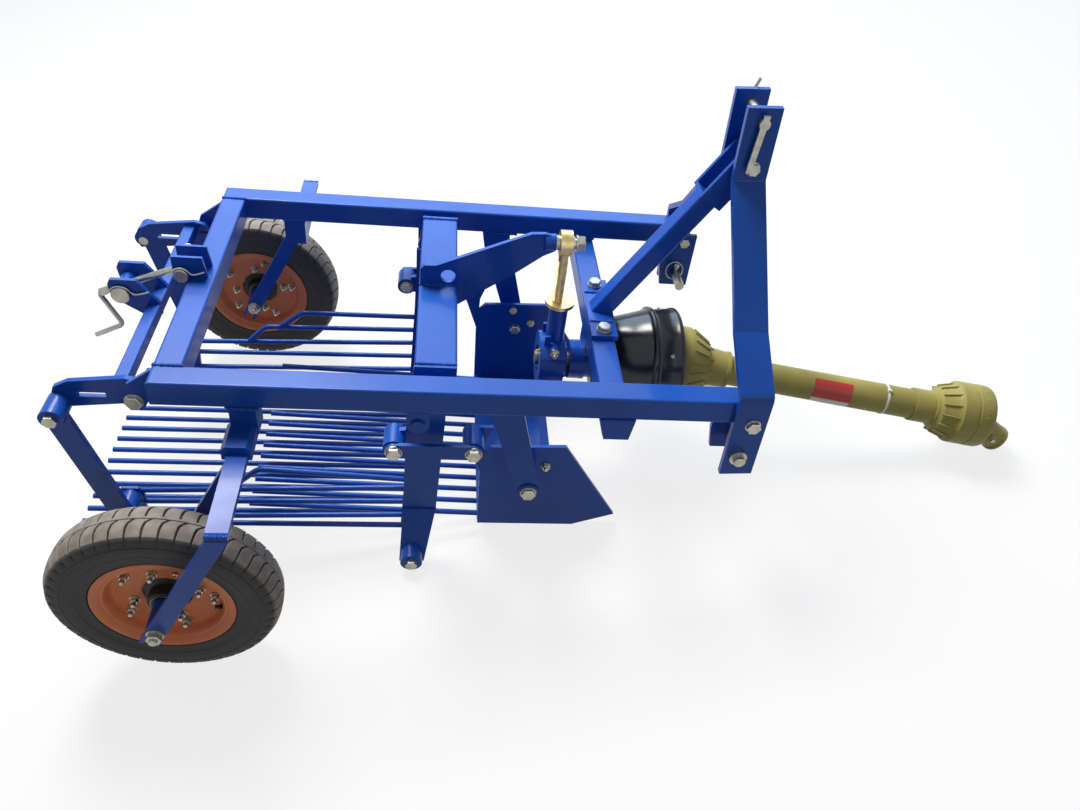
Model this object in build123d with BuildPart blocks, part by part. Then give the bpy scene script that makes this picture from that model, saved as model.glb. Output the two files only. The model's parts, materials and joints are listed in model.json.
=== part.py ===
from build123d import *
import os
from math import cos, hypot, radians, sin

os.makedirs("parts", exist_ok=True)

# Potato digger: a three-point mounted machine with a swinging share and sieve, driven by a shaft.
# Millimetres. The machine frame has X forward to the tractor, Y to the left and Z up. Its origin is on the
# top of the frame, in the middle of the rear beam's rear face. The pieces are modelled there, and the last
# lines park the machine: its nose goes down until the share's heel and both tyres stand on the ground.

SIDES = {"right": -1, "left": 1}

# Frame
BEAM = 50
HALF_WIDTH = 340
BEAM_INNER = HALF_WIDTH - BEAM
FRAME_LENGTH = 1060
CROSS_X = (796, 846)
TUBE_CORNER = 5

# Wheels
WHEEL_X, WHEEL_Y, WHEEL_Z = 9, 489, -374
TYRE_RADIUS = 205
AXLE_RADIUS = 12.5

# Rocker and its con rod
ROCKER = (454, -82)
TUBE_TOP = -2
ROCKER_HALF = 257
LEG_THICKNESS = 10
ARM_THICKNESS = 9
LINK_REAR = (408, -184)
LINK_FRONT = (561, -184)
SIEVE_FRONT = (445, -484)
ROD_EYE = (732, 110)
SHAFT_Z = -185
STROKE = 8

# Share
SHARE_PIVOT = (678, -292)
SHARE_OUTER = 250
SHARE_PLATE = 8
BLADE_X = (584, 765)
SHARE_ROD_COUNT = 14

# Sieve
ROD_PITCH = 35
ROD_RADIUS = 6
SIEVE_HALF = 245
SIEVE_ROD_COUNT = 15
SIEVE_REAR_X = -240
SIEVE_ROD_Z = -475
SIEVE_REAR = (-120, -383)

# Lift frame at the rear
LIFT_PIVOT = (-45, -84)
LIFT_BOSS = (-180, -107)
SPINDLE_FRONT = (-10, 10)
SPINDLE_REAR = (-130, -40)
SPINDLE_RADIUS = 7

# Drive shaft to the tractor
JOINT_X = 1060
SHAFT_DROP = 2.44
SHAFT_YAW = -9.82

# Small parts and fits
PIN_RADIUS = 8
BOSS_RADIUS = 21
BOLT_HEAD = 13
FIT = 0.06

# Parking
PARK_PITCH = 8.93
PARK_LIFT = WHEEL_X * sin(radians(PARK_PITCH)) - WHEEL_Z * cos(radians(PARK_PITCH)) + TYRE_RADIUS

pieces = {}


def plate(points, y0, y1, holes=(), mode=Mode.ADD):
    """Add a plate that stands in the XZ plane from y0 to y1, with round holes given as (x, z, radius)."""
    with BuildSketch(Plane.XZ.offset(-max(y0, y1))) as outline:
        with BuildLine():
            Polyline(*points, close=True)
        make_face()
        for x, z, radius in holes:
            with Locations((x, z)):
                Circle(radius, mode=Mode.SUBTRACT)
    extrude(outline.sketch, amount=abs(y1 - y0), mode=mode)


def disc(centre, radius, y0, y1, bore=0, mode=Mode.ADD):
    """Add a round boss, pin or washer along Y from y0 to y1, with a bore where one is given."""
    with BuildSketch(Plane.XZ.offset(-max(y0, y1))) as ring:
        with Locations(centre):
            Circle(radius)
            if bore:
                Circle(bore, mode=Mode.SUBTRACT)
    extrude(ring.sketch, amount=abs(y1 - y0), mode=mode)


def bolt_head(centre, y0, y1):
    """Add a hexagon bolt head along Y from y0 to y1."""
    with BuildSketch(Plane.XZ.offset(-max(y0, y1))) as hexagon:
        with Locations(centre):
            RegularPolygon(BOLT_HEAD, 6)
    extrude(hexagon.sketch, amount=abs(y1 - y0))


def block(x0, x1, y0, y1, z0, z1, mode=Mode.ADD):
    """Add a box between two corners."""
    with Locations(((x0 + x1) / 2, (y0 + y1) / 2, (z0 + z1) / 2)):
        Box(abs(x1 - x0), abs(y1 - y0), abs(z1 - z0), mode=mode)


def turned(points, z, mode=Mode.ADD):
    """Add a solid turned about the X direction at height z, from (x, radius) points."""
    with BuildSketch(Plane.XZ) as half:
        with BuildLine():
            Polyline(*[(x, z + radius) for x, radius in points], close=True)
        make_face()
    revolve(half.sketch, axis=Axis((0, 0, z), (1, 0, 0)), mode=mode)


def turned_y(points, centre, mode=Mode.ADD):
    """Add a solid turned about the Y direction through centre, from (y, radius) points."""
    x, z = centre
    with BuildSketch(Plane.YZ.offset(x)) as half:
        with BuildLine():
            Polyline(*[(y, z + radius) for y, radius in points], close=True)
        make_face()
    revolve(half.sketch, axis=Axis((x, 0, z), (0, 1, 0)), mode=mode)


def rod(points, radius, bend=0):
    """Add a round rod along the points, bent to the given radius at each inner point."""
    with BuildLine() as route:
        if len(points) > 2:
            FilletPolyline(*points, radius=bend)
        else:
            Line(*points)
    with BuildSketch(Plane(origin=route.line @ 0, z_dir=route.line % 0)) as section:
        Circle(radius)
    sweep(section.sketch, path=route.line)


def cut(*others):
    """Cut other pieces away, so that this one meets them face to face."""
    for other in others:
        add(other.part, mode=Mode.SUBTRACT)


def round_tube(axis):
    """Round the long edges of the square tube just added, which run along the axis."""
    fillet(edges(Select.LAST).filter_by(axis), TUBE_CORNER)


def between(start, end, share):
    """Return the point at a share of the way from start to end."""
    return tuple(a + (b - a) * share for a, b in zip(start, end))


# Main frame: the rear beam and the two side beams, mitred at the rear corners

with BuildPart() as rear_beam:
    with BuildSketch(Plane.XY) as outline:
        with BuildLine():
            Polyline((0, -HALF_WIDTH), (BEAM, -BEAM_INNER), (BEAM, BEAM_INNER), (0, HALF_WIDTH), close=True)
        make_face()
    extrude(outline.sketch, amount=-BEAM)
    round_tube(Axis.Y)
pieces["rear_beam"] = rear_beam

for name, side in SIDES.items():
    with BuildPart() as side_beam:
        with BuildSketch(Plane.XY) as outline:
            with BuildLine():
                Polyline(
                    (0, side * HALF_WIDTH),
                    (FRAME_LENGTH, side * HALF_WIDTH),
                    (FRAME_LENGTH, side * BEAM_INNER),
                    (BEAM, side * BEAM_INNER),
                    close=True,
                )
            make_face()
        extrude(outline.sketch, amount=-BEAM)
        round_tube(Axis.X)
    pieces[f"side_beam_{name}"] = side_beam

with BuildPart() as cross_member:
    block(*CROSS_X, -HALF_WIDTH + 6, HALF_WIDTH - 6, -2 * BEAM, -BEAM)
    round_tube(Axis.Y)
    for side in SIDES.values():
        plate(
            [(CROSS_X[0] - 12, -BEAM), (CROSS_X[1] + 6, -BEAM), (CROSS_X[1], -2 * BEAM),
             (CROSS_X[0] + 2, -2 * BEAM)],
            side * (HALF_WIDTH - 6),
            side * HALF_WIDTH,
        )
pieces["front_cross_member"] = cross_member

# Mast: two folded legs, the brace between them and the pins of the three-point hitch

LEG_WIDTH, LEG_BAR, LEG_BEND = 64, 12, 14
LEG_REAR = 1040  # rear edge of the leg's foot; the leg leans back from it
LEG_LEAN = 0.0545
LEG_ROUTE = (  # distance from the middle plane, height; down the middle of the folded bar
    (346, -173), (346, 20), (241, 88), (42, 292), (42, 431),
)
LOWER_BOLT = (1071, -44)
LOWER_PIN = (1062, -122)
TOP_PIN = (1040, 406)
PLATE_INNER = 290


def leg_x(z):
    """Return the place along X of the leg's middle at a height."""
    return LEG_REAR + LEG_WIDTH / 2 - (z - LEG_ROUTE[0][1]) * LEG_LEAN


for name, side in SIDES.items():
    with BuildPart() as mast_leg:
        with BuildLine() as route:
            FilletPolyline(*[(leg_x(z), side * y, z) for y, z in LEG_ROUTE], radius=LEG_BEND)
        with BuildSketch(Plane(origin=route.line @ 0, x_dir=(1, 0, LEG_LEAN), z_dir=route.line % 0)) as bar:
            Rectangle(LEG_WIDTH, LEG_BAR)
        sweep(bar.sketch, path=route.line)
        disc(LOWER_PIN, 11 + FIT, side * 330, side * 360, mode=Mode.SUBTRACT)
        disc(TOP_PIN, 10 + FIT, side * 30, side * 60, mode=Mode.SUBTRACT)
    pieces[f"mast_leg_{name}"] = mast_leg

    with BuildPart() as hitch_plate:
        plate(
            [(1020, -BEAM), (FRAME_LENGTH, -BEAM), (FRAME_LENGTH, -20), (1096, -20), (1099, -160), (1031, -160),
             (1021, -110)],
            side * (PLATE_INNER - 10),
            side * PLATE_INNER,
            holes=((*LOWER_PIN, 11 + FIT),),
        )
        block(1020, FRAME_LENGTH, side * (PLATE_INNER - 10), side * (PLATE_INNER + 30), -BEAM - 8, -BEAM)
        disc(LOWER_BOLT, 9, side * PLATE_INNER, side * 340)
    pieces[f"hitch_plate_{name}"] = hitch_plate

    with BuildPart() as lower_pin:
        disc(LOWER_PIN, 11, side * 215, side * 372)
        disc(LOWER_PIN, 17, side * 352, side * 361)
    pieces[f"lower_pin_{name}"] = lower_pin

with BuildPart() as top_link_pin:
    disc(TOP_PIN, 10, -62, 68)
    plate([(1034, 422), (1046, 422), (1041, 314), (1030, 315)], -62, -56)
    rod([(1036, 58, 390), (1055, 60, 443)], 3)
pieces["top_link_pin"] = top_link_pin

BRACE_FOOT, BRACE_TOP = (836, -26), (992, 231)
BRACE_TUBE = 40
BRACE_RUN = hypot(BRACE_TOP[0] - BRACE_FOOT[0], BRACE_TOP[1] - BRACE_FOOT[1])
BRACE_WAY = ((BRACE_TOP[0] - BRACE_FOOT[0]) / BRACE_RUN, (BRACE_TOP[1] - BRACE_FOOT[1]) / BRACE_RUN)
STRAP_HALF, STRAP_BAR, STRAP_WIDTH, STRAP_REACH = 30, 8, 51, 104
STRAP_BOLT = tuple(a + STRAP_REACH * way for a, way in zip(BRACE_TOP, BRACE_WAY))

with BuildPart() as mast_brace:
    brace_plane = Plane(
        origin=(BRACE_FOOT[0], 0, BRACE_FOOT[1]), x_dir=(0, 1, 0), z_dir=(BRACE_WAY[0], 0, BRACE_WAY[1])
    )
    with BuildSketch(brace_plane.offset(-BRACE_TUBE)) as section:
        RectangleRounded(BRACE_TUBE, BRACE_TUBE, TUBE_CORNER)
    extrude(section.sketch, amount=BRACE_RUN + BRACE_TUBE)
    block(740, 900, -60, 60, -140, -BEAM + 10, mode=Mode.SUBTRACT)
    block(CROSS_X[0], CROSS_X[1] + 5, -102, 102, -BEAM, -BEAM + 10)
    strap_plane = Plane(origin=(BRACE_TOP[0], 0, BRACE_TOP[1]), x_dir=(BRACE_WAY[0], 0, BRACE_WAY[1]),
                        z_dir=(0, -1, 0))
    for low, high in ((-STRAP_HALF, -STRAP_HALF + STRAP_BAR), (STRAP_HALF - STRAP_BAR, STRAP_HALF)):
        with BuildSketch(strap_plane.offset(low)) as ear:
            with Locations((STRAP_REACH / 2, 0)):
                Rectangle(STRAP_REACH, STRAP_WIDTH)
            with Locations((STRAP_REACH, 0)):
                Circle(STRAP_WIDTH / 2)
        extrude(ear.sketch, amount=high - low)
    with BuildSketch(strap_plane.offset(-STRAP_HALF)) as web:
        with Locations((STRAP_BAR / 2, 0)):
            Rectangle(STRAP_BAR, STRAP_WIDTH)
    extrude(web.sketch, amount=2 * STRAP_HALF)
    for y in (-STRAP_HALF, STRAP_HALF):
        disc(STRAP_BOLT, 16, y, y * 1.2)
pieces["mast_brace"] = mast_brace

# Input bearing, hung under the front cross member, and the guard round the shaft's end

with BuildPart() as bearing_housing:
    turned([(801.5, 20), (801.5, 44), (809, 44), (809, 40), (828, 40), (828, 20)], SHAFT_Z)
    block(801.5, 828, -34, 34, -150, -2 * BEAM)
    turned([(801, 0), (801, 16 + FIT), (829, 16 + FIT), (829, 0)], SHAFT_Z, mode=Mode.SUBTRACT)
pieces["input_bearing"] = bearing_housing

with BuildPart() as shaft_guard:
    turned(
        [(828, 24), (828, 60), (861, 95), (947, 118), (950, 124), (958, 124), (962, 120), (1004, 124),
         (1010, 122), (1010, 116), (956, 114), (861, 90), (834, 60), (834, 24)],
        SHAFT_Z,
    )
pieces["shaft_guard"] = shaft_guard

# Rocker pivots under the side beams

for name, side in SIDES.items():
    with BuildPart() as rocker_pivot:
        disc(ROCKER, BOSS_RADIUS, side * 272, side * 336)
        block(ROCKER[0] - 21, ROCKER[0] + 21, side * 291, side * 336, ROCKER[1], -BEAM)
        disc(ROCKER, 12, side * 240, side * 272)
        disc(ROCKER, 13, side * 336, side * 341)
    pieces[f"rocker_pivot_{name}"] = rocker_pivot

# Front hangers: fixed arms that carry the share's pivots

for name, side in SIDES.items():
    with BuildPart() as front_hanger:
        plate(
            [(583, -BEAM), (647, -BEAM), (651, -84), (700, -284), (657, -300), (589, -86)],
            side * 291,
            side * 303,
        )
        plate([(591, -BEAM), (639, -BEAM), (635, -72), (595, -72)], side * 303, side * 333)
        disc(SHARE_PIVOT, 22, side * 283, side * 306)
        disc(SHARE_PIVOT, 12, side * 236, side * 283)
        bolt_head(SHARE_PIVOT, side * 306, side * 315)
    pieces[f"front_hanger_{name}"] = front_hanger

# Lift pivots and the spindle's bracket on the rear beam

with BuildPart() as lift_tabs:
    for side in SIDES.values():
        plate(
            [(0, -8), (0, -BEAM), (-30, -100), (-60, -100), (-66, -84), (-52, -46), (-30, -30)],
            side * 284,
            side * 292,
        )
        disc(LIFT_PIVOT, 10, side * 258, side * 284)
        bolt_head(LIFT_PIVOT, side * 292, side * 301)
pieces["lift_tabs"] = lift_tabs

with BuildPart() as spindle_bracket:
    for side in SIDES.values():
        plate([(-28, -6), (0, -20), (0, 0), (36, 0), (31, 44), (-27, 44)], side * 17, side * 23,
              holes=((*SPINDLE_FRONT, 8 + FIT),))
pieces["spindle_bracket"] = spindle_bracket

# Wheel forks

FORK_TOP, FORK_BOTTOM = -100, -114
FORK_INNER, FORK_OUTER = 398, 576
FORK_BAR = 12
POST_X, POST_FLARE = (128, 174), 6
CLAMP_X, CLAMP_TOP = (121, 172), -86
AXLE_SLOT = 25

for name, side in SIDES.items():
    with BuildPart() as wheel_fork:
        plate(
            [(POST_X[0] - POST_FLARE, -BEAM), (POST_X[1] + POST_FLARE, -BEAM), (POST_X[1], -BEAM - POST_FLARE),
             (POST_X[1], FORK_BOTTOM), (POST_X[0], FORK_BOTTOM), (POST_X[0], -BEAM - POST_FLARE)],
            side * 296,
            side * 340,
        )
        plate(
            [(CLAMP_X[0], FORK_BOTTOM - 4), (CLAMP_X[0], CLAMP_TOP - 8), (CLAMP_X[0] + 8, CLAMP_TOP),
             (CLAMP_X[1] - 8, CLAMP_TOP), (CLAMP_X[1], CLAMP_TOP - 8), (CLAMP_X[1], FORK_BOTTOM - 4)],
            side * 336,
            side * 400,
        )
        block(126, 166, side * 380, side * (FORK_OUTER + FORK_BAR / 2), FORK_BOTTOM, FORK_TOP)
        for y in (FORK_INNER, FORK_OUTER):
            y0, y1 = side * (y - FORK_BAR / 2), side * (y + FORK_BAR / 2)
            plate(
                [(126, FORK_TOP), (166, FORK_TOP), (166, -128), (31, -398), (23, -414), (-23, -400), (-10, -362)],
                y0,
                y1,
            )
            plate(
                [(WHEEL_X - AXLE_SLOT / 2, WHEEL_Z), (WHEEL_X + AXLE_SLOT / 2, WHEEL_Z),
                 (WHEEL_X + AXLE_SLOT / 2 - 6, WHEEL_Z - 44), (WHEEL_X - AXLE_SLOT / 2 - 6, WHEEL_Z - 44)],
                y0,
                y1,
                mode=Mode.SUBTRACT,
            )
        disc((WHEEL_X, WHEEL_Z), AXLE_RADIUS, side * (FORK_INNER - 14), side * (FORK_OUTER + 14))
        for y0, y1 in ((FORK_OUTER + 6, FORK_OUTER + 11), (FORK_INNER - 11, FORK_INNER - 6)):
            disc((WHEEL_X, WHEEL_Z), 19, side * y0, side * y1)
    pieces[f"wheel_fork_{name}"] = wheel_fork

# Wheels: tyre, split rim and hub

TYRE_SECTION = (  # distance from the middle plane, radius; outer half of the tread and side wall
    (0, 205), (22, 203), (34, 196), (41, 178), (42, 164), (39, 146), (34, 128),
)

RIM_SECTION = (  # the same half of the split rim, from the bead seat out over the flange and in to the hub
    (30, 112), (34, 126), (37, 126), (37, 118), (33, 104), (16, 92), (7, 60), (7, 32),
)

for name, side in SIDES.items():
    centre = (WHEEL_X, WHEEL_Z)
    y = side * WHEEL_Y
    with BuildPart() as tyre:
        outer = [(y + side * a, r) for a, r in TYRE_SECTION]
        inner = [(y - side * a, r) for a, r in reversed(TYRE_SECTION[1:])]
        turned_y([*outer, (y + side * 30, 112), (y - side * 30, 112), *inner], centre)
    pieces[f"tyre_{name}"] = tyre

    with BuildPart() as rim:
        outer = [(y + side * a, r) for a, r in RIM_SECTION]
        inner = [(y - side * a, r) for a, r in reversed(RIM_SECTION)]
        turned_y([*outer, *inner], centre)
    pieces[f"rim_{name}"] = rim

    with BuildPart() as hub:
        disc(centre, 32, y - side * 6, y + side * 6, bore=AXLE_RADIUS + FIT)
        disc(centre, 26, y - side * 62, y + side * 62, bore=AXLE_RADIUS + FIT)
    pieces[f"hub_{name}"] = hub

# Input shaft with its eccentric

ECCENTRIC_X = (716, 750)
with BuildPart() as input_shaft:
    turned([(700, 0), (700, 16), (985, 16), (985, 0)], SHAFT_Z)
    turned([(775, 16), (775, 43), (801, 43), (801, 16)], SHAFT_Z)
    with BuildSketch(Plane.YZ.offset(ECCENTRIC_X[0])) as lobe:
        with Locations((STROKE, SHAFT_Z)):
            Circle(25)
    extrude(lobe.sketch, amount=ECCENTRIC_X[1] - ECCENTRIC_X[0])
    turned([(764, 16), (764, 36), (768, 36), (768, 16)], SHAFT_Z)
pieces["input_shaft"] = input_shaft

# Rocker: cross tube, legs and the arm up to the con rod

with BuildPart() as rocker_tube:
    block(444, 522, -ROCKER_HALF, ROCKER_HALF, TUBE_TOP - 78, TUBE_TOP)
    round_tube(Axis.Y)
    for side in SIDES.values():
        plate([(431, -80), (522, -80), (505, -122), (431, -122)], side * 247, side * 257)
        disc(ROCKER, 12 + FIT, side * 230, side * 270, mode=Mode.SUBTRACT)
pieces["rocker_tube"] = rocker_tube

for name, side in SIDES.items():
    with BuildPart() as rocker_leg:
        plate(
            [(444, TUBE_TOP), (522, TUBE_TOP), (505, -122), (493, -393), (424, -393), (431, -122)],
            side * ROCKER_HALF,
            side * (ROCKER_HALF + LEG_THICKNESS),
            holes=((*ROCKER, 12 + FIT),),
        )
        for z, rear, front, inner in ((-393, 424, 493, 257), (-500, 419, 471, 312)):
            with BuildSketch(Plane.XY.offset(z)):
                with Locations(((rear + front) / 2, side * (inner + 5.5))):
                    Rectangle(front - rear, 11)
        loft(ruled=True)
        plate(
            [(400, -170), (436, -160), (436, -208), (400, -198)],
            side * ROCKER_HALF,
            side * (ROCKER_HALF + LEG_THICKNESS),
        )
        disc(LINK_REAR, BOSS_RADIUS, side * 247, side * 297.7)
        disc(LINK_REAR, PIN_RADIUS, side * 297.7, side * 306.3)
        bolt_head(LINK_REAR, side * 306.3, side * 313)
        disc(SIEVE_FRONT, 23, side * 306, side * 341)
        disc(SIEVE_FRONT, 12 + FIT, side * 280, side * 345, mode=Mode.SUBTRACT)
    pieces[f"rocker_leg_{name}"] = rocker_leg

with BuildPart() as rocker_arm:
    plate(
        [(446, TUBE_TOP), (446, 34), (455, 43), (478, 44), (662, 128), (690, 130), (712, 124), (712, 92), (690, 80),
         (634, 33), (522, -50), (522, TUBE_TOP)],
        -ARM_THICKNESS / 2,
        ARM_THICKNESS / 2,
        holes=((502, 20, 15),),
    )
    with BuildSketch(Plane.YZ.offset(690)) as boss:
        with Locations((0, 110)):
            Circle(17)
    extrude(boss.sketch, amount=22)
    with BuildSketch(Plane.YZ.offset(712)) as bolt:
        with Locations((0, 110)):
            Circle(10)
    extrude(bolt.sketch, amount=45)
    with BuildSketch(Plane.YZ.offset(755)) as nut:
        with Locations((0, 110)):
            RegularPolygon(15, 6)
    extrude(nut.sketch, amount=15)
pieces["rocker_arm"] = rocker_arm

# Con rod: rod end above, housing round the eccentric below

with BuildPart() as rod_end:
    with BuildSketch(Plane.YZ.offset(ROD_EYE[0] - 12)) as eye:
        with Locations((0, ROD_EYE[1])):
            Circle(26)
    extrude(eye.sketch, amount=24)
    with BuildSketch(Plane.XY.offset(-30)) as thread:
        with Locations((ROD_EYE[0], 0)):
            Circle(10)
    extrude(thread.sketch, amount=120)
    with BuildSketch(Plane.XY.offset(-36)) as washer:
        with Locations((ROD_EYE[0] + 6, 0)):
            Circle(31)
    extrude(washer.sketch, amount=8)
    with BuildSketch(Plane.YZ.offset(ROD_EYE[0] - 20)) as bore:
        with Locations((0, ROD_EYE[1])):
            Circle(12)
    extrude(bore.sketch, amount=40, mode=Mode.SUBTRACT)
pieces["rod_end"] = rod_end

with BuildPart() as con_rod:
    with BuildSketch(Plane.XY.offset(-36)) as barrel:
        with Locations((ROD_EYE[0] + 6, 0)):
            Circle(20)
    extrude(barrel.sketch, amount=-100)
    turned([(706, 0), (706, 60), (760, 60), (760, 0)], SHAFT_Z)
    turned([(712, 0), (712, 47), (754, 47), (754, 0)], SHAFT_Z, mode=Mode.SUBTRACT)
    turned([(700, 0), (700, 29), (770, 29), (770, 0)], SHAFT_Z, mode=Mode.SUBTRACT)
    for y in (-24, 24):
        block(714, 726, y - 3, y + 3, SHAFT_Z + 52, SHAFT_Z + 78)
pieces["con_rod"] = con_rod

# Link bars from the rocker to the share

for name, side in SIDES.items():
    with BuildPart() as link_bar:
        with BuildSketch(Plane.XZ.offset(-max(side * 298, side * 306))) as bar:
            with Locations(between(LINK_REAR, LINK_FRONT, 0.5)):
                SlotCenterToCenter(LINK_FRONT[0] - LINK_REAR[0], 35)
            with Locations(LINK_REAR):
                Circle(PIN_RADIUS + FIT, mode=Mode.SUBTRACT)
            with Locations(LINK_FRONT):
                Circle(PIN_RADIUS + 1, mode=Mode.SUBTRACT)
        extrude(bar.sketch, amount=8)
    pieces[f"link_bar_{name}"] = link_bar

# Share: side plates, blade and the rods behind it

for name, side in SIDES.items():
    with BuildPart() as share_side:
        plate(
            [(585, -458), (579, -244), (600, -221), (753, -216), (885, -421), (795, -458)],
            side * (SHARE_OUTER - SHARE_PLATE),
            side * SHARE_OUTER,
            holes=((*SHARE_PIVOT, 12 + FIT),),
        )
        plate([(583, -300), (586, -206), (600, -166), (572, -166), (545, -190)], side * 242, side * 250)
        disc(LINK_FRONT, BOSS_RADIUS, side * 242, side * 297.7)
        disc(LINK_FRONT, PIN_RADIUS, side * 297.7, side * 306.3)
        bolt_head(LINK_FRONT, side * 306.3, side * 313)
        disc(SHARE_PIVOT, 20, side * 250, side * 262, bore=12 + FIT)
    pieces[f"share_side_{name}"] = share_side

with BuildPart() as share_blade:
    half = SHARE_OUTER - SHARE_PLATE
    plate([(584, -456), (584, -446), (742, -446), (765, -454), (765, -456)], -half, half)
pieces["share_blade"] = share_blade

with BuildPart() as share_rods:
    for index in range(SHARE_ROD_COUNT):
        y = (index - (SHARE_ROD_COUNT - 1) / 2) * ROD_PITCH
        rod([(BLADE_X[0] + 1, y, -451), (100, y, -431)], ROD_RADIUS)
    cut(share_blade)
pieces["share_rods"] = share_rods

# Sieve: front shaft, floor rods and side rods

with BuildPart() as sieve_shaft:
    disc(SIEVE_FRONT, 16, -289, 289)
    for side in SIDES.values():
        disc(SIEVE_FRONT, 12 + FIT, side * 270, side * 310, mode=Mode.SUBTRACT)
pieces["sieve_shaft"] = sieve_shaft

with BuildPart() as sieve_pins:
    for side in SIDES.values():
        disc(SIEVE_FRONT, 12, side * 270.5, side * 341.5)
        bolt_head(SIEVE_FRONT, side * 341.5, side * 350)
pieces["sieve_pins"] = sieve_pins

with BuildPart() as sieve_floor:
    for index in range(SIEVE_ROD_COUNT):
        y = (index - (SIEVE_ROD_COUNT - 1) / 2) * ROD_PITCH
        rod([(SIEVE_FRONT[0], y, SIEVE_ROD_Z), (SIEVE_REAR_X, y, SIEVE_ROD_Z - 2)], ROD_RADIUS)
    disc((40, -493), 12, -SIEVE_HALF - 8, SIEVE_HALF + 8)
    cut(sieve_shaft)
pieces["sieve_floor"] = sieve_floor

SIDE_RODS = {  # (x, z) points of each side rod, front to rear
    "left": (
        ((430, -272), (159, -275), (104, -318)),
        ((429, -312), (67, -322), (24, -367)),
        ((427, -353), (-112, -376)),
        ((426, -396), (-116, -409)),
        ((424, -440), (-120, -457)),
    ),
    "right": (
        ((428, -327), (135, -305), (80, -357)),
        ((427, -353), (-112, -376)),
        ((426, -396), (-116, -409)),
        ((424, -440), (-120, -457)),
    ),
}
for name, side in SIDES.items():
    y = side * SIEVE_HALF
    with BuildPart() as sieve_side:
        top = SIDE_RODS[name][0][0][1] + 10
        plate([(418, -475), (427, top), (447, top), (440, -475)], y - 4, y + 4)
        plate([(-128, -478), (-118, -371), (-98, -371), (-106, -478)], y - 4, y + 4)
        for points in SIDE_RODS[name]:
            rod([(x, y, z) for x, z in points], ROD_RADIUS, 30)
        plate([(-146, -400), (-138, -360), (-104, -360), (-100, -400)], side * 249, side * 255)
        disc(SIEVE_REAR, BOSS_RADIUS, side * 255, side * 297.7)
        disc(SIEVE_REAR, PIN_RADIUS, side * 297.7, side * 318.3)
        bolt_head(SIEVE_REAR, side * 318.3, side * 326)
        cut(sieve_shaft, sieve_floor)
    pieces[f"sieve_side_{name}"] = sieve_side

# Lift frame, its bosses and the rear hangers

with BuildPart() as lift_frame:
    block(-86, -61, -262, 262, -86, -61)
    fillet(edges(Select.LAST).filter_by(Axis.Y), 3)
    for side in SIDES.values():
        plate(
            [(-194, -96), (-186, -76), (-160, -62), (-61, -50), (-40, -56), (-22, -84), (-36, -106),
             (-160, -120), (-188, -122)],
            side * 262,
            side * 272,
            holes=((*LIFT_PIVOT, 10 + FIT),),
        )
        block(-149, -100, side * 255, side * 280, -97, -86, mode=Mode.SUBTRACT)
        disc(LIFT_BOSS, BOSS_RADIUS, side * 272, side * 296)
        disc(LIFT_BOSS, 10 + FIT, side * 250, side * 330, mode=Mode.SUBTRACT)
    for side in SIDES.values():
        plate(
            [(-152, -20), (-146, -8), (-98, -8), (-61, -61), (-61, -86), (-98, -86), (-140, -56), (-150, -46)],
            side * 26,
            side * 34,
            holes=((*SPINDLE_REAR, PIN_RADIUS),),
        )
pieces["lift_frame"] = lift_frame

with BuildPart() as hanger_pins:
    for side in SIDES.values():
        disc(LIFT_BOSS, 10, side * 262, side * 324.3)
        bolt_head(LIFT_BOSS, side * 324.3, side * 332)
pieces["hanger_pins"] = hanger_pins

for name, side in SIDES.items():
    with BuildPart() as rear_hanger:
        with BuildSketch(Plane.XZ.offset(-max(side * 300, side * 312))) as bar:
            with BuildLine():
                way = (SIEVE_REAR[0] - LIFT_BOSS[0], SIEVE_REAR[1] - LIFT_BOSS[1])
                run = hypot(*way)
                across = (-way[1] / run * 21, way[0] / run * 21)
                Polyline(
                    (LIFT_BOSS[0] + across[0], LIFT_BOSS[1] + across[1]),
                    (SIEVE_REAR[0] + across[0], SIEVE_REAR[1] + across[1]),
                    (SIEVE_REAR[0] - across[0], SIEVE_REAR[1] - across[1]),
                    (LIFT_BOSS[0] - across[0], LIFT_BOSS[1] - across[1]),
                    close=True,
                )
            make_face()
            with Locations(LIFT_BOSS, SIEVE_REAR):
                Circle(21)
        extrude(bar.sketch, amount=12)
        disc(LIFT_BOSS, BOSS_RADIUS, side * 296.3, side * 324)
        disc(LIFT_BOSS, 10 + FIT, side * 290, side * 330, mode=Mode.SUBTRACT)
        disc(SIEVE_REAR, PIN_RADIUS + 2, side * 290, side * 330, mode=Mode.SUBTRACT)
    pieces[f"rear_hanger_{name}"] = rear_hanger

# Lift spindle with its crank, and the nut block that it turns in

spindle_end = between(SPINDLE_FRONT, SPINDLE_REAR, 1.44)

with BuildPart() as lift_spindle:
    disc(SPINDLE_FRONT, 12, -16.7, 16.7)
    disc(SPINDLE_FRONT, 8, -30, 30)
    disc(SPINDLE_FRONT, 13, -36, -30)
    rod([(SPINDLE_FRONT[0], 0, SPINDLE_FRONT[1]), (spindle_end[0], 0, spindle_end[1])],
        SPINDLE_RADIUS)
    rod([(spindle_end[0] + 6, 0, spindle_end[1] + 3), (spindle_end[0] - 5, 0, spindle_end[1] - 2),
         (spindle_end[0] + 30, -8, spindle_end[1] - 73), (spindle_end[0] - 29, -8, spindle_end[1] - 103)], 5, 10)
pieces["lift_spindle"] = lift_spindle

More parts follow.
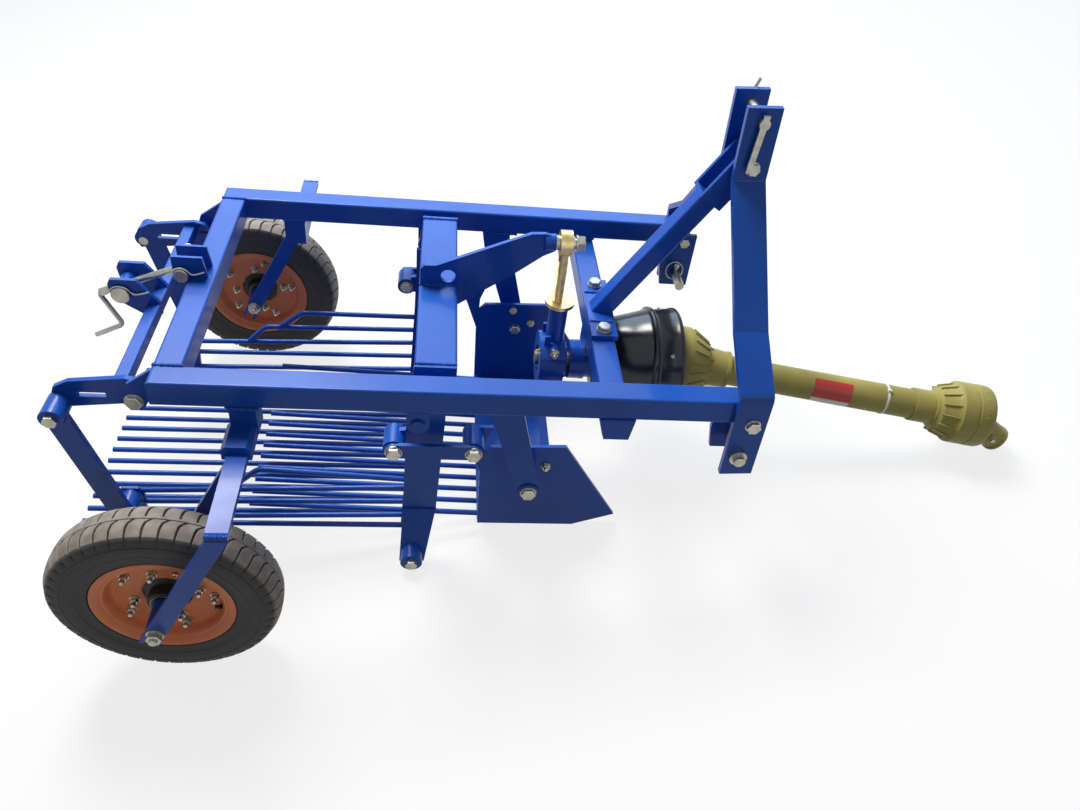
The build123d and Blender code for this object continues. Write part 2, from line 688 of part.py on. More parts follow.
with BuildPart() as spindle_nut:
    disc(SPINDLE_REAR, 15, -26, 26)
    disc(SPINDLE_REAR, PIN_RADIUS, -34, 34)
    disc(SPINDLE_REAR, 17, -42, -34)
    with BuildSketch(Plane(origin=(SPINDLE_REAR[0], 0, SPINDLE_REAR[1]),
                           z_dir=(SPINDLE_REAR[0] - SPINDLE_FRONT[0], 0, SPINDLE_REAR[1] - SPINDLE_FRONT[1]))) as hole:
        Circle(SPINDLE_RADIUS + 2)
    extrude(hole.sketch, amount=40, both=True, mode=Mode.SUBTRACT)
pieces["spindle_nut"] = spindle_nut

# Drive shaft: inner cone, tube, outer cone and the yoke that goes on the tractor

shaft_dir = Vector(
    cos(radians(SHAFT_DROP)) * cos(radians(SHAFT_YAW)),
    cos(radians(SHAFT_DROP)) * sin(radians(SHAFT_YAW)),
    -sin(radians(SHAFT_DROP)),
)
shaft_plane = Plane(origin=(JOINT_X, 0, SHAFT_Z), x_dir=(0, 1, 0), z_dir=shaft_dir)


def along_shaft(points, mode=Mode.ADD):
    """Add a solid turned about the drive shaft, from (distance from the joint, radius) points."""
    side_plane = Plane(origin=shaft_plane.origin, x_dir=shaft_dir, z_dir=shaft_plane.x_dir)
    with BuildSketch(side_plane) as half:
        with BuildLine():
            Polyline(*points, close=True)
        make_face()
    revolve(half.sketch, axis=Axis(shaft_plane.origin, shaft_dir), mode=mode)


PTO_TUBE = (84, 514)
BELL_END = 682
OUTER_JOINT = 650
YOKE_DROOP = 29.5

with BuildPart() as pto_cross:
    with Locations((JOINT_X, 0, SHAFT_Z)):
        Cylinder(9, 52, rotation=(90, 0, 0))
        Cylinder(9, 52)
        Sphere(14)
pieces["pto_cross"] = pto_cross

with BuildPart() as pto_inner_cone:
    along_shaft([(-44, 74), (-44, 80), (-14, 80), (30, 52), (34, 44), (80, 39), (84, 39), (84, 0), (60, 0), (40, 34),
                 (24, 46), (-16, 74)])
pieces["pto_inner_cone"] = pto_inner_cone

with BuildPart() as pto_tube:
    along_shaft([(PTO_TUBE[0], 0), (PTO_TUBE[0], 34), (PTO_TUBE[1], 34), (PTO_TUBE[1], 0)])
pieces["pto_tube"] = pto_tube

with BuildPart() as pto_outer_cone:
    along_shaft([(PTO_TUBE[1], 0), (PTO_TUBE[1], 38), (564, 38), (570, 52), (610, 62), (614, 71), (676, 71),
                 (BELL_END, 66), (BELL_END, 60), (618, 60), (606, 52), (572, 30), (572, 0)])
    along_shaft([(572, 0), (572, 18), (612, 18), (612, 0)])
pieces["pto_outer_cone"] = pto_outer_cone

yoke_dir = shaft_dir.rotate(Axis((0, 0, 0), (0, 1, 0)), YOKE_DROOP)
yoke_joint = Vector(shaft_plane.origin) + shaft_dir * OUTER_JOINT
yoke_plane = Plane(origin=yoke_joint, x_dir=(0, 1, 0), z_dir=yoke_dir)
with BuildPart() as pto_yoke:
    with BuildSketch(yoke_plane.offset(28)) as collar:
        Circle(30)
        Circle(17.5, mode=Mode.SUBTRACT)
    extrude(collar.sketch, amount=80)
    with BuildSketch(yoke_plane.offset(-22)) as cross:
        Circle(22)
    extrude(cross.sketch, amount=50)
pieces["pto_yoke"] = pto_yoke

# Park the machine, label each piece and write it

for piece in pieces.values():
    piece.part.move(Location((0, 0, PARK_LIFT), (0, PARK_PITCH, 0)))
boxes = [piece.part.bounding_box() for piece in pieces.values()]
middle = (min(box.min.X for box in boxes) + max(box.max.X for box in boxes)) / 2
for label, piece in pieces.items():
    piece.part.move(Location((-middle, 0, 0)))
    piece.part.label = label
    export_step(piece.part, f"parts/{label}.step")
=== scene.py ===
"""The looks of a parked potato digger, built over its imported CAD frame.

The machine frame used here has X forward to the tractor, Y to the left and Z up, in millimetres, with its
origin on the top of the frame at the middle of the rear beam. The parked machine stands nose down, so a
MachineFrame turns those places into the row frame.
"""

from __future__ import annotations

import json
import logging
import math
from dataclasses import dataclass, field
from enum import Enum
from typing import Callable, Iterable, Sequence

import bmesh
import bpy
from mathutils import Matrix, Vector


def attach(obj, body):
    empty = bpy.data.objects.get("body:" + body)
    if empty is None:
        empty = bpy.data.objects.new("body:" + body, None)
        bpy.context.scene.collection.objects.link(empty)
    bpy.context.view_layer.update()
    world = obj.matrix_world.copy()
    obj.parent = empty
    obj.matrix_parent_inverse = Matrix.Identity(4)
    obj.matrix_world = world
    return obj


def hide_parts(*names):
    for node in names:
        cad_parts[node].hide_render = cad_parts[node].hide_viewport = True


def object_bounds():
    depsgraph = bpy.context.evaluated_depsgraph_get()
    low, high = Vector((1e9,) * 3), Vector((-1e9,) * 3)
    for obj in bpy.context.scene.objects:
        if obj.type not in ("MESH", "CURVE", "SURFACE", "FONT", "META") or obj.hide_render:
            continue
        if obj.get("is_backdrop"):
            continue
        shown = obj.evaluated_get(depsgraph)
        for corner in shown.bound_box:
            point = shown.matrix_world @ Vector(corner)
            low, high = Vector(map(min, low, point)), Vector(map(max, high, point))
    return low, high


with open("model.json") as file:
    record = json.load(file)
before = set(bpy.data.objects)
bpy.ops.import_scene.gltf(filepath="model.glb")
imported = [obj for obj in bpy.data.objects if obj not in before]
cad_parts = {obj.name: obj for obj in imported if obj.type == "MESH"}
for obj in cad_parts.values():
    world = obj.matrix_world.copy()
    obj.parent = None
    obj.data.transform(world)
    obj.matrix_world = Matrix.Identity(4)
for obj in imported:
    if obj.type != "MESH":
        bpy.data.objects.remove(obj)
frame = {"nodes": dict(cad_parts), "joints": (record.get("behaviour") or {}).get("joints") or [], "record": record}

Mesh = bpy.types.Mesh
Material = bpy.types.Material
Tree = bpy.types.NodeTree
Node = bpy.types.Node
Socket = bpy.types.NodeSocket
Point = tuple[float, float, float]
Pair = tuple[float, float]

LOG = logging.getLogger("digger")
MM = 0.001
MM_PER_METRE = 1000.0
WASHER = 2.4
SOLID = 0.01
SHAFT_AXIS: Point = (0.0, 0.0, -185.0)
UP: Point = (0.0, 0.0, 1.0)
DOWN: Point = (0.0, 0.0, -1.0)
FORWARD: Point = (1.0, 0.0, 0.0)
# Vertex mask of the tread tops, whose paler tone is partly wear and partly painted sunlight.
WEAR_AND_SUN = "wear"
CAD_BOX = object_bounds()


# ---------------------------------------------------------------- machine frame


@dataclass(frozen=True)
class MachineFrame:
    """Axes and origin of the machine, as it stands parked in the row frame."""

    origin: Vector
    forward: Vector
    left: Vector
    up: Vector

    @classmethod
    def from_joints(cls, joints: Sequence[dict]) -> "MachineFrame":
        """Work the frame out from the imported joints.

        Args:
            joints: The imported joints, with the drive's spin and a wheel's spin among them.

        Returns:
            The frame whose forward axis is the drive's, with its origin on the rear beam's top edge.
        """
        place = {joint["name"]: joint for joint in joints}
        forward = Vector(place["input_spin"]["axis"]).normalized()
        left = Vector((0.0, 1.0, 0.0))
        up = forward.cross(left)
        wheel = Vector(place["wheel_left_spin"]["pos_m"])
        x, y, z = WHEEL_PLACE
        origin = wheel - forward * x * MM - left * y * MM - up * z * MM
        return cls(origin, forward, left, up)

    def at(self, x: float, y: float, z: float) -> Vector:
        """Return the row-frame place, in metres, of a machine-frame point in millimetres."""
        return self.origin + (self.forward * x + self.left * y + self.up * z) * MM

    def matrix(self) -> Matrix:
        """Return the matrix that takes machine millimetres to row-frame metres."""
        columns = Matrix((self.forward, self.left, self.up)).transposed().to_4x4()
        return Matrix.Translation(self.origin) @ columns @ Matrix.Scale(MM, 4)


WHEEL_PLACE: Point = (9.0, 489.0, -374.0)
MACHINE = MachineFrame.from_joints(frame["joints"])


class Side(Enum):
    """The machine's two sides, with the sign of Y."""

    RIGHT = -1
    LEFT = 1

    @property
    def label(self) -> str:
        """Return the side's name in lower case."""
        return self.name.lower()


# ---------------------------------------------------------------- materials


def linear(code: str) -> tuple[float, float, float, float]:
    """Turn an sRGB hex colour such as "1b3d8f" into linear red, green and blue, with alpha 1."""

    def channel(value: float) -> float:
        return value / 12.92 if value <= 0.04045 else ((value + 0.055) / 1.055) ** 2.4

    red, green, blue = (channel(int(code[i : i + 2], 16) / 255.0) for i in (0, 2, 4))
    return red, green, blue, 1.0


def add_node(tree: Tree, kind: str, settings: dict | None = None, links: dict | None = None) -> Node:
    """Add a node with its settings and links.

    Args:
        tree: The material or geometry tree.
        kind: The node's type name.
        settings: Properties by name, and socket values by ("socket", name or index).
        links: Input socket name or index to the output socket that feeds it.

    Returns:
        The new node.
    """
    node = tree.nodes.new(kind)
    for key, value in (settings or {}).items():
        if isinstance(key, tuple):
            node.inputs[key[1]].default_value = value
        else:
            setattr(node, key, value)
    for key, source in (links or {}).items():
        tree.links.new(source, node.inputs[key])
    return node


def new_material(name: str, base: str, roughness: float, metallic: float = 0.0,
                 **sockets: float) -> tuple[Material, Tree, Node]:
    """Start a Principled material.

    Args:
        name: The material's name.
        base: sRGB hex base colour.
        roughness: Surface roughness.
        metallic: 1 for bare or plated metal.
        **sockets: More sockets of the shader, with underscores for spaces.

    Returns:
        The material, its tree and its shader node.
    """
    material = bpy.data.materials.new(name)
    material.use_nodes = True
    tree = material.node_tree
    shader = tree.nodes["Principled BSDF"]
    shader.inputs["Base Color"].default_value = linear(base)
    shader.inputs["Roughness"].default_value = roughness
    shader.inputs["Metallic"].default_value = metallic
    for key, value in sockets.items():
        shader.inputs[key.replace("_", " ")].default_value = value
    material.diffuse_color = linear(base)
    return material, tree, shader


def object_noise(tree: Tree, scale: float, detail: float, stretch: Point | None = None) -> Socket:
    """Add noise on Object coordinates and return its value.

    Args:
        tree: The material's tree.
        scale: Noise cells per metre.
        detail: Octaves of the noise.
        stretch: Scales of the coordinates, where the noise runs long in one direction.

    Returns:
        The noise's output socket.
    """
    place = add_node(tree, "ShaderNodeTexCoord").outputs["Object"]
    if stretch:
        mapping = add_node(tree, "ShaderNodeMapping", {("socket", "Scale"): stretch}, {"Vector": place})
        place = mapping.outputs["Vector"]
    settings = {("socket", "Scale"): scale, ("socket", "Detail"): detail}
    return add_node(tree, "ShaderNodeTexNoise", settings, {"Vector": place}).outputs["Fac"]


def noise_between(tree: Tree, scale: float, low: str, high: str, detail: float = 4.0,
                  span: Pair = (0.35, 0.65)) -> tuple[Socket, Socket]:
    """Mix two colours by noise on Object coordinates.

    Args:
        tree: The material's tree.
        scale: Noise cells per metre.
        low: sRGB hex colour of the noise's low parts.
        high: sRGB hex colour of its high parts.
        detail: Octaves of the noise.
        span: The noise values between which the colours blend.

    Returns:
        The output sockets of the colour and of the noise.
    """
    noise = object_noise(tree, scale, detail)
    ramp = add_node(tree, "ShaderNodeValToRGB", {}, {"Fac": noise})
    for element, position, code in zip(ramp.color_ramp.elements, span, (low, high)):
        element.position, element.color = position, linear(code)
    return ramp.outputs["Color"], noise


def add_bump(tree: Tree, shader: Node, heights: Sequence[tuple[Socket, float, float]]) -> None:
    """Chain bumps onto the shader's normal.

    Args:
        tree: The material's tree.
        shader: The Principled node.
        heights: Height socket, strength and distance in metres for each bump.
    """
    below = {}
    for height, strength, distance in heights:
        settings = {("socket", "Strength"): strength, ("socket", "Distance"): distance}
        bump = add_node(tree, "ShaderNodeBump", settings, {"Height": height, **below})
        below = {"Normal": bump.outputs["Normal"]}
    tree.links.new(below["Normal"], shader.inputs["Normal"])


@dataclass(frozen=True)
class Enamel:
    """Sprayed gloss enamel over mill-scale steel: a clear wet shine over faint orange peel and mill marks."""

    name: str
    base: str
    shade: str
    roughness: float = 0.3
    coat: float = 0.12
    specular: float = 0.18
    peel_mm: float = 7.0
    peel_depth: float = 0.12
    blotches_per_metre: float = 6.0
    waves_per_metre: float = 22.0
    smoother: float = 0.07
    rougher: float = 0.1

    def build(self) -> Material:
        """Build the enamel's material."""
        material, tree, shader = new_material(
            self.name, self.base, self.roughness, Coat_Weight=self.coat, Coat_Roughness=0.08,
            Specular_IOR_Level=self.specular, IOR=1.5
        )
        colour, _ = noise_between(tree, self.blotches_per_metre, self.shade, self.base)
        tree.links.new(colour, shader.inputs["Base Color"])
        peel = object_noise(tree, MM_PER_METRE / self.peel_mm, 2.0)
        wave = object_noise(tree, self.waves_per_metre, 1.0)
        span = {("socket", "To Min"): self.roughness - self.smoother,
                ("socket", "To Max"): self.roughness + self.rougher}
        rough = add_node(tree, "ShaderNodeMapRange", span, {"Value": wave})
        tree.links.new(rough.outputs["Result"], shader.inputs["Roughness"])
        add_bump(tree, shader, [(peel, self.peel_depth, 0.0006), (wave, 0.15, 0.002)])
        return material


@dataclass(frozen=True)
class TyreRubber:
    """Moulded black rubber: browned side walls, and tread tops paler where the tread-top mask says so, partly from
    wear and partly as painted sunlight.

    The grain is drawn coarse enough to show.
    """

    name: str = "tyre_rubber"
    base: str = "2b2927"
    dust: str = "3a3531"
    # The two tread-top tones are paler than worn rubber alone: they hold painted sunlight as well as wear.
    worn: str = "989086"
    scuffed: str = "7d756c"
    grain_mm: float = 1.6

    def build(self) -> Material:
        """Build the tyre's material."""
        material, tree, shader = new_material(self.name, self.base, 0.7, IOR=1.5)
        side, blotch = noise_between(tree, 14.0, self.base, self.dust, 6.0, (0.42, 0.78))
        # Tread tops: the paler tone of wear and painted sunlight, blended in by the tread-top mask.
        tread, _ = noise_between(tree, 40.0, self.scuffed, self.worn, 5.0)
        wear = add_node(tree, "ShaderNodeAttribute", {"attribute_name": WEAR_AND_SUN})
        blend = add_node(tree, "ShaderNodeMix", {"data_type": "RGBA"},
                         {0: wear.outputs["Fac"], 6: side, 7: tread})
        tree.links.new(blend.outputs[2], shader.inputs["Base Color"])
        grain = object_noise(tree, MM_PER_METRE / self.grain_mm, 3.0)
        add_bump(tree, shader, [(grain, 0.25, 0.0006), (blotch, 0.1, 0.001)])
        return material


@dataclass(frozen=True)
class MouldedPlastic:
    """Blow-moulded polyethylene: a waxy sheen with faint flow marks along the part."""

    name: str
    base: str
    shade: str
    roughness: float
    mark_mm: float = 18.0
    specular: float = 0.25

    def build(self) -> Material:
        """Build the plastic's material."""
        material, tree, shader = new_material(
            self.name, self.base, self.roughness, Specular_IOR_Level=self.specular, IOR=1.5
        )
        colour, _ = noise_between(tree, 9.0, self.shade, self.base, 3.0)
        tree.links.new(colour, shader.inputs["Base Color"])
        marks = object_noise(tree, MM_PER_METRE / self.mark_mm, 4.0, (0.25, 1.0, 1.0))
        add_bump(tree, shader, [(marks, 0.2, 0.001)])
        return material


@dataclass(frozen=True)
class PlatedSteel:
    """Plated or machined steel, with a slightly mottled tone and a fine grain."""

    name: str
    base: str
    shade: str
    roughness: float = 0.34
    grain_mm: float = 2.5

    def build(self) -> Material:
        """Build the steel's material."""
        material, tree, shader = new_material(self.name, self.base, self.roughness, 1.0)
        colour, _ = noise_between(tree, 60.0, self.shade, self.base, 3.0)
        tree.links.new(colour, shader.inputs["Base Color"])
        grain = object_noise(tree, MM_PER_METRE / self.grain_mm, 2.0)
        add_bump(tree, shader, [(grain, 0.12, 0.0004)])
        return material


@dataclass(frozen=True)
class PrintedFilm:
    """A blank vinyl label: a red or white satin film."""

    name: str
    base: str

    def build(self) -> Material:
        """Build the film's material."""
        return new_material(self.name, self.base, 0.35, IOR=1.46)[0]


class Finish(Enum):
    """The finishes of the digger: each value is the record's slot that it dresses, where there is one."""

    BLUE = "blue_paint"
    ORANGE = "orange_paint"
    HUB_BLACK = "black_paint"
    TYRE = "tyre"
    GUARD_BLACK = "black_plastic"
    SHIELD_YELLOW = "yellow_plastic"
    YELLOW_ZINC = "yellow_zinc"
    ZINC = "zinc_steel"
    BARE = "bare_steel"
    RED_FILM = "red_film"
    WHITE_FILM = "white_film"
    YOKE_YELLOW = "yoke_enamel"


RECIPES = {
    Finish.BLUE: Enamel("royal_blue_enamel", "1853b4", "154ba6"),
    Finish.ORANGE: Enamel("orange_rim_enamel", "f7935e", "e88558", 0.45, 0.0, 0.3),
    Finish.HUB_BLACK: Enamel("black_hub_enamel", "1c1b1b", "151414", 0.45, 0.0, 0.3),
    Finish.TYRE: TyreRubber(),
    Finish.GUARD_BLACK: MouldedPlastic("black_guard_plastic", "121213", "17171a", 0.24, 60.0, 0.5),
    Finish.SHIELD_YELLOW: MouldedPlastic("olive_yellow_shield", "aaa05a", "998f4e", 0.45),
    Finish.YELLOW_ZINC: PlatedSteel("yellow_chromate_steel", "d9c68c", "c2a878", 0.36),
    Finish.ZINC: PlatedSteel("zinc_plated_steel", "b8b5a8", "a09d92", 0.34),
    Finish.BARE: PlatedSteel("machined_steel", "8f8d88", "6f6c66", 0.4),
    Finish.RED_FILM: PrintedFilm("red_label_film", "c23a34"),
    Finish.WHITE_FILM: PrintedFilm("white_label_film", "ece9e2"),
    Finish.YOKE_YELLOW: Enamel("yellow_yoke_enamel", "b8aa5c", "a2954c", 0.4, 0.05, 0.3),
}
MATERIALS: dict[Finish, Material] = {}


def material_of(finish: Finish) -> Material:
    """Return the finish's material, built once."""
    if finish not in MATERIALS:
        MATERIALS[finish] = RECIPES[finish].build()
    return MATERIALS[finish]


# ---------------------------------------------------------------- mesh tools


def mesh_from(verts: Iterable[Sequence[float]], faces: Iterable[Sequence[int]]) -> Mesh:
    """Make a mesh from vertices and faces, with its normals pointing outwards."""
    mesh = bpy.data.meshes.new("part")
    mesh.from_pydata([tuple(v) for v in verts], [], [tuple(f) for f in faces])
    tidy_normals(mesh)
    return mesh


def tidy_normals(mesh: Mesh) -> None:
    """Merge doubled vertices and point the faces outwards."""
    work = bmesh.new()
    work.from_mesh(mesh)
    bmesh.ops.remove_doubles(work, verts=work.verts, dist=1e-5)
    bmesh.ops.recalc_face_normals(work, faces=work.faces)
    work.to_mesh(mesh)
    work.free()


def in_scene(name: str, data: bpy.types.ID) -> bpy.types.Object:
    """Make an object of some data and link it to the scene."""
    item = bpy.data.objects.new(name, data)
    bpy.context.scene.collection.objects.link(item)
    return item


def evaluated(item: bpy.types.Object) -> Mesh:
    """Return the plain mesh that an object's settings and modifiers give."""
    bpy.context.view_layer.update()
    return bpy.data.meshes.new_from_object(item.evaluated_get(bpy.context.evaluated_depsgraph_get()))


def plain_mesh(work: bmesh.types.BMesh) -> Mesh:
    """Turn a working mesh into a plain one and free it."""
    mesh = bpy.data.meshes.new("part")
    work.to_mesh(mesh)
    work.free()
    return mesh


def turning(direction: Vector, start: Vector) -> Matrix:
    """Return the matrix that takes local +Z to a direction, with its origin at start, in machine units."""
    return Matrix.Translation(start) @ direction.to_track_quat("Z", "Y").to_matrix().to_4x4()


def lathe(profile: Sequence[Pair], start: Point, direction: Point, steps: int) -> Mesh:
    """Turn a closed profile about an axis.

    Args:
        profile: Points of (distance along the axis, radius), of which the last joins the first.
        start: The axis's zero point, in machine millimetres.
        direction: The axis's direction.
        steps: Segments round the axis.

    Returns:
        The mesh, in machine millimetres.
    """
    verts, faces = [], []
    for along, radius in profile:
        for step in range(steps):
            angle = math.tau * step / steps
            verts.append((radius * math.cos(angle), radius * math.sin(angle), along))
    count = len(profile)
    for row in range(count):
        after = (row + 1) % count
        low, high = row * steps, after * steps
        for step in range(steps):
            beside = (step + 1) % steps
            faces.append((low + step, low + beside, high + beside, high + step))
    mesh = mesh_from(verts, faces)
    mesh.transform(turning(Vector(direction).normalized(), Vector(start)))
    tidy_normals(mesh)
    return mesh


def ring_block(low: float, high: float, radius: float, start: Point, direction: Point, steps: int,
               bore: float = SOLID) -> Mesh:
    """Turn a plain cylinder or, with a bore, a plain ring between two places along an axis."""
    return lathe([(low, bore), (low, radius), (high, radius), (high, bore)], start, direction, steps)


def solid_of(profile: Sequence[Pair], start: Point, direction: Point, steps: int) -> Mesh:
    """Turn a profile whose two ends run in to the axis."""
    (first, _), (last, _) = profile[0], profile[-1]
    return lathe([(first, SOLID), *profile, (last, SOLID)], start, direction, steps)


def extruded(outline: Sequence[Pair], ends: Pair, place: Callable[[float, float, float], Point]) -> Mesh:
    """Extrude an outline between two ends.

    Args:
        outline: The outline's points.
        ends: The places of its two ends.
        place: Gives the machine place of an end's value and an outline point's two values.

    Returns:
        The mesh, in machine millimetres.
    """
    count = len(outline)
    verts = [place(end, u, v) for end in ends for u, v in outline]
    faces = [tuple(range(count)), tuple(range(count, 2 * count))]
    faces += [(i, (i + 1) % count, count + (i + 1) % count, count + i) for i in range(count)]
    return mesh_from(verts, faces)


def prism(outline: Sequence[Pair], y0: float, y1: float) -> Mesh:
    """Extrude an XZ outline from y0 to y1, in machine millimetres."""
    return extruded(outline, (y0, y1), lambda y, x, z: (x, y, z))


def wire(points: Sequence[Point], radius: float, smooth: bool = True, ring: bool = False) -> Mesh:
    """Sweep a round wire along points.

    Args:
        points: The wire's route, in machine millimetres.
        radius: The wire's radius.
        smooth: Whether the route is a smooth curve and not straight runs.
        ring: Whether the wire closes on itself.

    Returns:
        The wire's mesh.
    """
    curve = bpy.data.curves.new("wire", "CURVE")
    curve.dimensions = "3D"
    curve.bevel_depth = radius
    curve.bevel_resolution = 3
    curve.use_fill_caps = True
    spline = curve.splines.new("NURBS" if smooth else "POLY")
    spline.points.add(len(points) - 1)
    for knot, point in zip(spline.points, points):
        knot.co = (*point, 1.0)
    if smooth:
        spline.order_u = 3
        spline.use_endpoint_u = not ring
        spline.resolution_u = 6
    spline.use_cyclic_u = ring
    shape = in_scene("wire", curve)
    mesh = evaluated(shape)
    bpy.data.objects.remove(shape)
    return mesh


def joined(meshes: Sequence[Mesh]) -> Mesh:
    """Join meshes into one, keeping their places."""
    work = bmesh.new()
    for mesh in meshes:
        work.from_mesh(mesh)
    return plain_mesh(work)


def add_piece(name: str, mesh: Mesh, finish: Finish, body: str, replaces: Sequence[str] = (),
              crease: float = 35.0) -> bpy.types.Object:
    """Put a finished mesh on a body.

    Args:
        name: The piece's name.
        mesh: The mesh, in machine millimetres.
        finish: Its finish.
        body: The CAD body that it rides on.
        replaces: CAD nodes that it stands for.
        crease: Angle in degrees above which an edge stays sharp.

    Returns:
        The piece's object, at the origin.
    """
    mesh.transform(MACHINE.matrix())
    mesh.shade_smooth()
    mesh.set_sharp_from_angle(angle=math.radians(crease))
    mesh.materials.clear()
    mesh.materials.append(material_of(finish))
    mesh.polygons.foreach_set("material_index", [0] * len(mesh.polygons))
    piece = in_scene(name, mesh)
    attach(piece, body)
    if replaces:
        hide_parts(*replaces)
    LOG.info("%s: %d faces on %s", name, len(mesh.polygons), body)
    return piece


# ---------------------------------------------------------------- geometry node trees


def start_tree(name: str, inputs: Sequence[tuple[str, str]]) -> Tree:
    """Start a geometry tree with named inputs.

    Args:
        name: The tree's name.
        inputs: Name and socket type of each input after the geometry.

    Returns:
        The tree, with its Group Input and Group Output nodes.
    """
    tree = bpy.data.node_groups.new(name, "GeometryNodeTree")
    tree.interface.new_socket("Geometry", in_out="INPUT", socket_type="NodeSocketGeometry")
    for label, kind in inputs:
        tree.interface.new_socket(label, in_out="INPUT", socket_type=kind)
    tree.interface.new_socket("Geometry", in_out="OUTPUT", socket_type="NodeSocketGeometry")
    add_node(tree, "NodeGroupInput")
    add_node(tree, "NodeGroupOutput")
    return tree


def close_tree(tree: Tree, model: str, points: Socket, rotation: Socket, scale: Socket | None = None) -> None:
    """End a tree: set a model on points and realize the copies.

    Args:
        tree: The tree.
        model: The name of the input that holds the model.
        points: The socket of the points.
        rotation: The socket of each copy's rotation.
        scale: The socket of each copy's scale, if any.
    """
    source = tree.nodes["Group Input"]
    shape = add_node(tree, "GeometryNodeObjectInfo", {}, {"Object": source.outputs[model]})
    links = {"Points": points, "Instance": shape.outputs["Geometry"], "Rotation": rotation}
    if scale:
        links["Scale"] = scale
    placed = add_node(tree, "GeometryNodeInstanceOnPoints", {}, links)
    real = add_node(tree, "GeometryNodeRealizeInstances", {}, {"Geometry": placed.outputs["Instances"]})
    tree.links.new(real.outputs["Geometry"], tree.nodes["Group Output"].inputs["Geometry"])


def named_attribute(tree: Tree, name: str, kind: str) -> Socket:
    """Read a named attribute of the points and return its socket."""
    node = add_node(tree, "GeometryNodeInputNamedAttribute", {"data_type": kind, ("socket", "Name"): name})
    return node.outputs["Attribute"]


def aligned(tree: Tree, vector: Socket, axis: str, **settings: str) -> Socket:
    """Turn an axis of each copy along a vector and return the rotation's socket."""
    node = add_node(tree, "FunctionNodeAlignRotationToVector", {"axis": axis, **settings}, {"Vector": vector})
    return node.outputs["Rotation"]


def fastener_tree() -> Tree:
    """Build the tree that sets a fastener on each point, turned along the point's direction and sized."""
    tree = start_tree("fasteners", [("Fastener", "NodeSocketObject")])
    source = tree.nodes["Group Input"]
    way = named_attribute(tree, "direction", "FLOAT_VECTOR")
    size = named_attribute(tree, "size", "FLOAT")
    points = add_node(tree, "GeometryNodeMeshToPoints", {}, {"Mesh": source.outputs["Geometry"]})
    close_tree(tree, "Fastener", points.outputs["Points"], aligned(tree, way, "Z"), size)
    return tree


def ring_tree() -> Tree:
    """Build the tree that sets copies of a shape round a circle about Z, each with its X axis outwards."""
    tree = start_tree("ring_of_shapes", [("Shape", "NodeSocketObject"), ("Count", "NodeSocketInt"),
                                         ("Radius", "NodeSocketFloat")])
    source = tree.nodes["Group Input"]
    circle = add_node(tree, "GeometryNodeMeshCircle", {},
                      {"Vertices": source.outputs["Count"], "Radius": source.outputs["Radius"]})
    place = add_node(tree, "GeometryNodeInputPosition").outputs["Position"]
    close_tree(tree, "Shape", circle.outputs["Mesh"], aligned(tree, place, "X", pivot_axis="Z"))
    return tree


def weld_tree() -> Tree:
    """Build the tree that lays a rippled weld bead along each edge of the seams' mesh."""
    tree = start_tree("weld_beads", [("Ripple", "NodeSocketObject"), ("Pitch", "NodeSocketFloat")])
    source = tree.nodes["Group Input"]
    route = add_node(tree, "GeometryNodeMeshToCurve", {}, {"Mesh": source.outputs["Geometry"]})
    spaced = add_node(tree, "GeometryNodeResampleCurve", {"mode": "LENGTH"},
                      {"Curve": route.outputs["Curve"], "Length": source.outputs["Pitch"]})
    tangent = add_node(tree, "GeometryNodeInputTangent").outputs["Tangent"]
    size = add_node(tree, "FunctionNodeRandomValue",
                    {("socket", 2): 0.85, ("socket", 3): 1.2, ("socket", "Seed"): 7})
    close_tree(tree, "Ripple", spaced.outputs["Curve"], aligned(tree, tangent, "X"), size.outputs[1])
    return tree


TREES: dict[str, Tree] = {}


def run_tree(maker: Callable[[], Tree], base: Mesh, shape: Mesh,
             values: dict[str, float]) -> Mesh:
    """Run a geometry tree and return its plain mesh.

    Args:
        maker: The function that builds the tree.
        base: The mesh that the modifier stands on.
        shape: The mesh to repeat.
        values: The inputs by name, apart from the shape.

    Returns:
        The realized mesh, in the units of its inputs.
    """
    if maker.__name__ not in TREES:
        TREES[maker.__name__] = maker()
    tree = TREES[maker.__name__]
    model, host = in_scene("model", shape), in_scene("host", base)
    modifier = host.modifiers.new("repeat", "NODES")
    modifier.node_group = tree
    for socket in tree.interface.items_tree:
        if socket.in_out == "INPUT" and socket.name != "Geometry":
            modifier[socket.identifier] = values.get(socket.name, model)
    mesh = evaluated(host)
    for item in (host, model):
        bpy.data.objects.remove(item)
    return mesh


def ring_of(shape: Mesh, count: int, radius: float, start: Point,
            direction: Point) -> Mesh:
    """Repeat a shape round an axis and return the mesh, in machine millimetres."""
    empty = bpy.data.meshes.new("empty")
    mesh = run_tree(ring_tree, empty, shape, {"Count": count, "Radius": radius})
    mesh.transform(turning(Vector(direction).normalized(), Vector(start)))
    return mesh


def box_mesh(size: Point, round_by: float) -> Mesh:
    """Make a box about the origin, with its edges rounded."""
    work = bmesh.new()
    bmesh.ops.create_cube(work, size=1.0)
    bmesh.ops.scale(work, vec=size, verts=work.verts)
    bmesh.ops.bevel(work, geom=work.edges[:], offset=round_by, segments=2, affect="EDGES", profile=0.5)
    return plain_mesh(work)


# ---------------------------------------------------------------- fasteners


@dataclass(frozen=True)
class Fastener:
    """A fastener's place: where it stands, which way it points and how large it is for its kind."""

    place: Point
    direction: Point
    size: float = 1.0


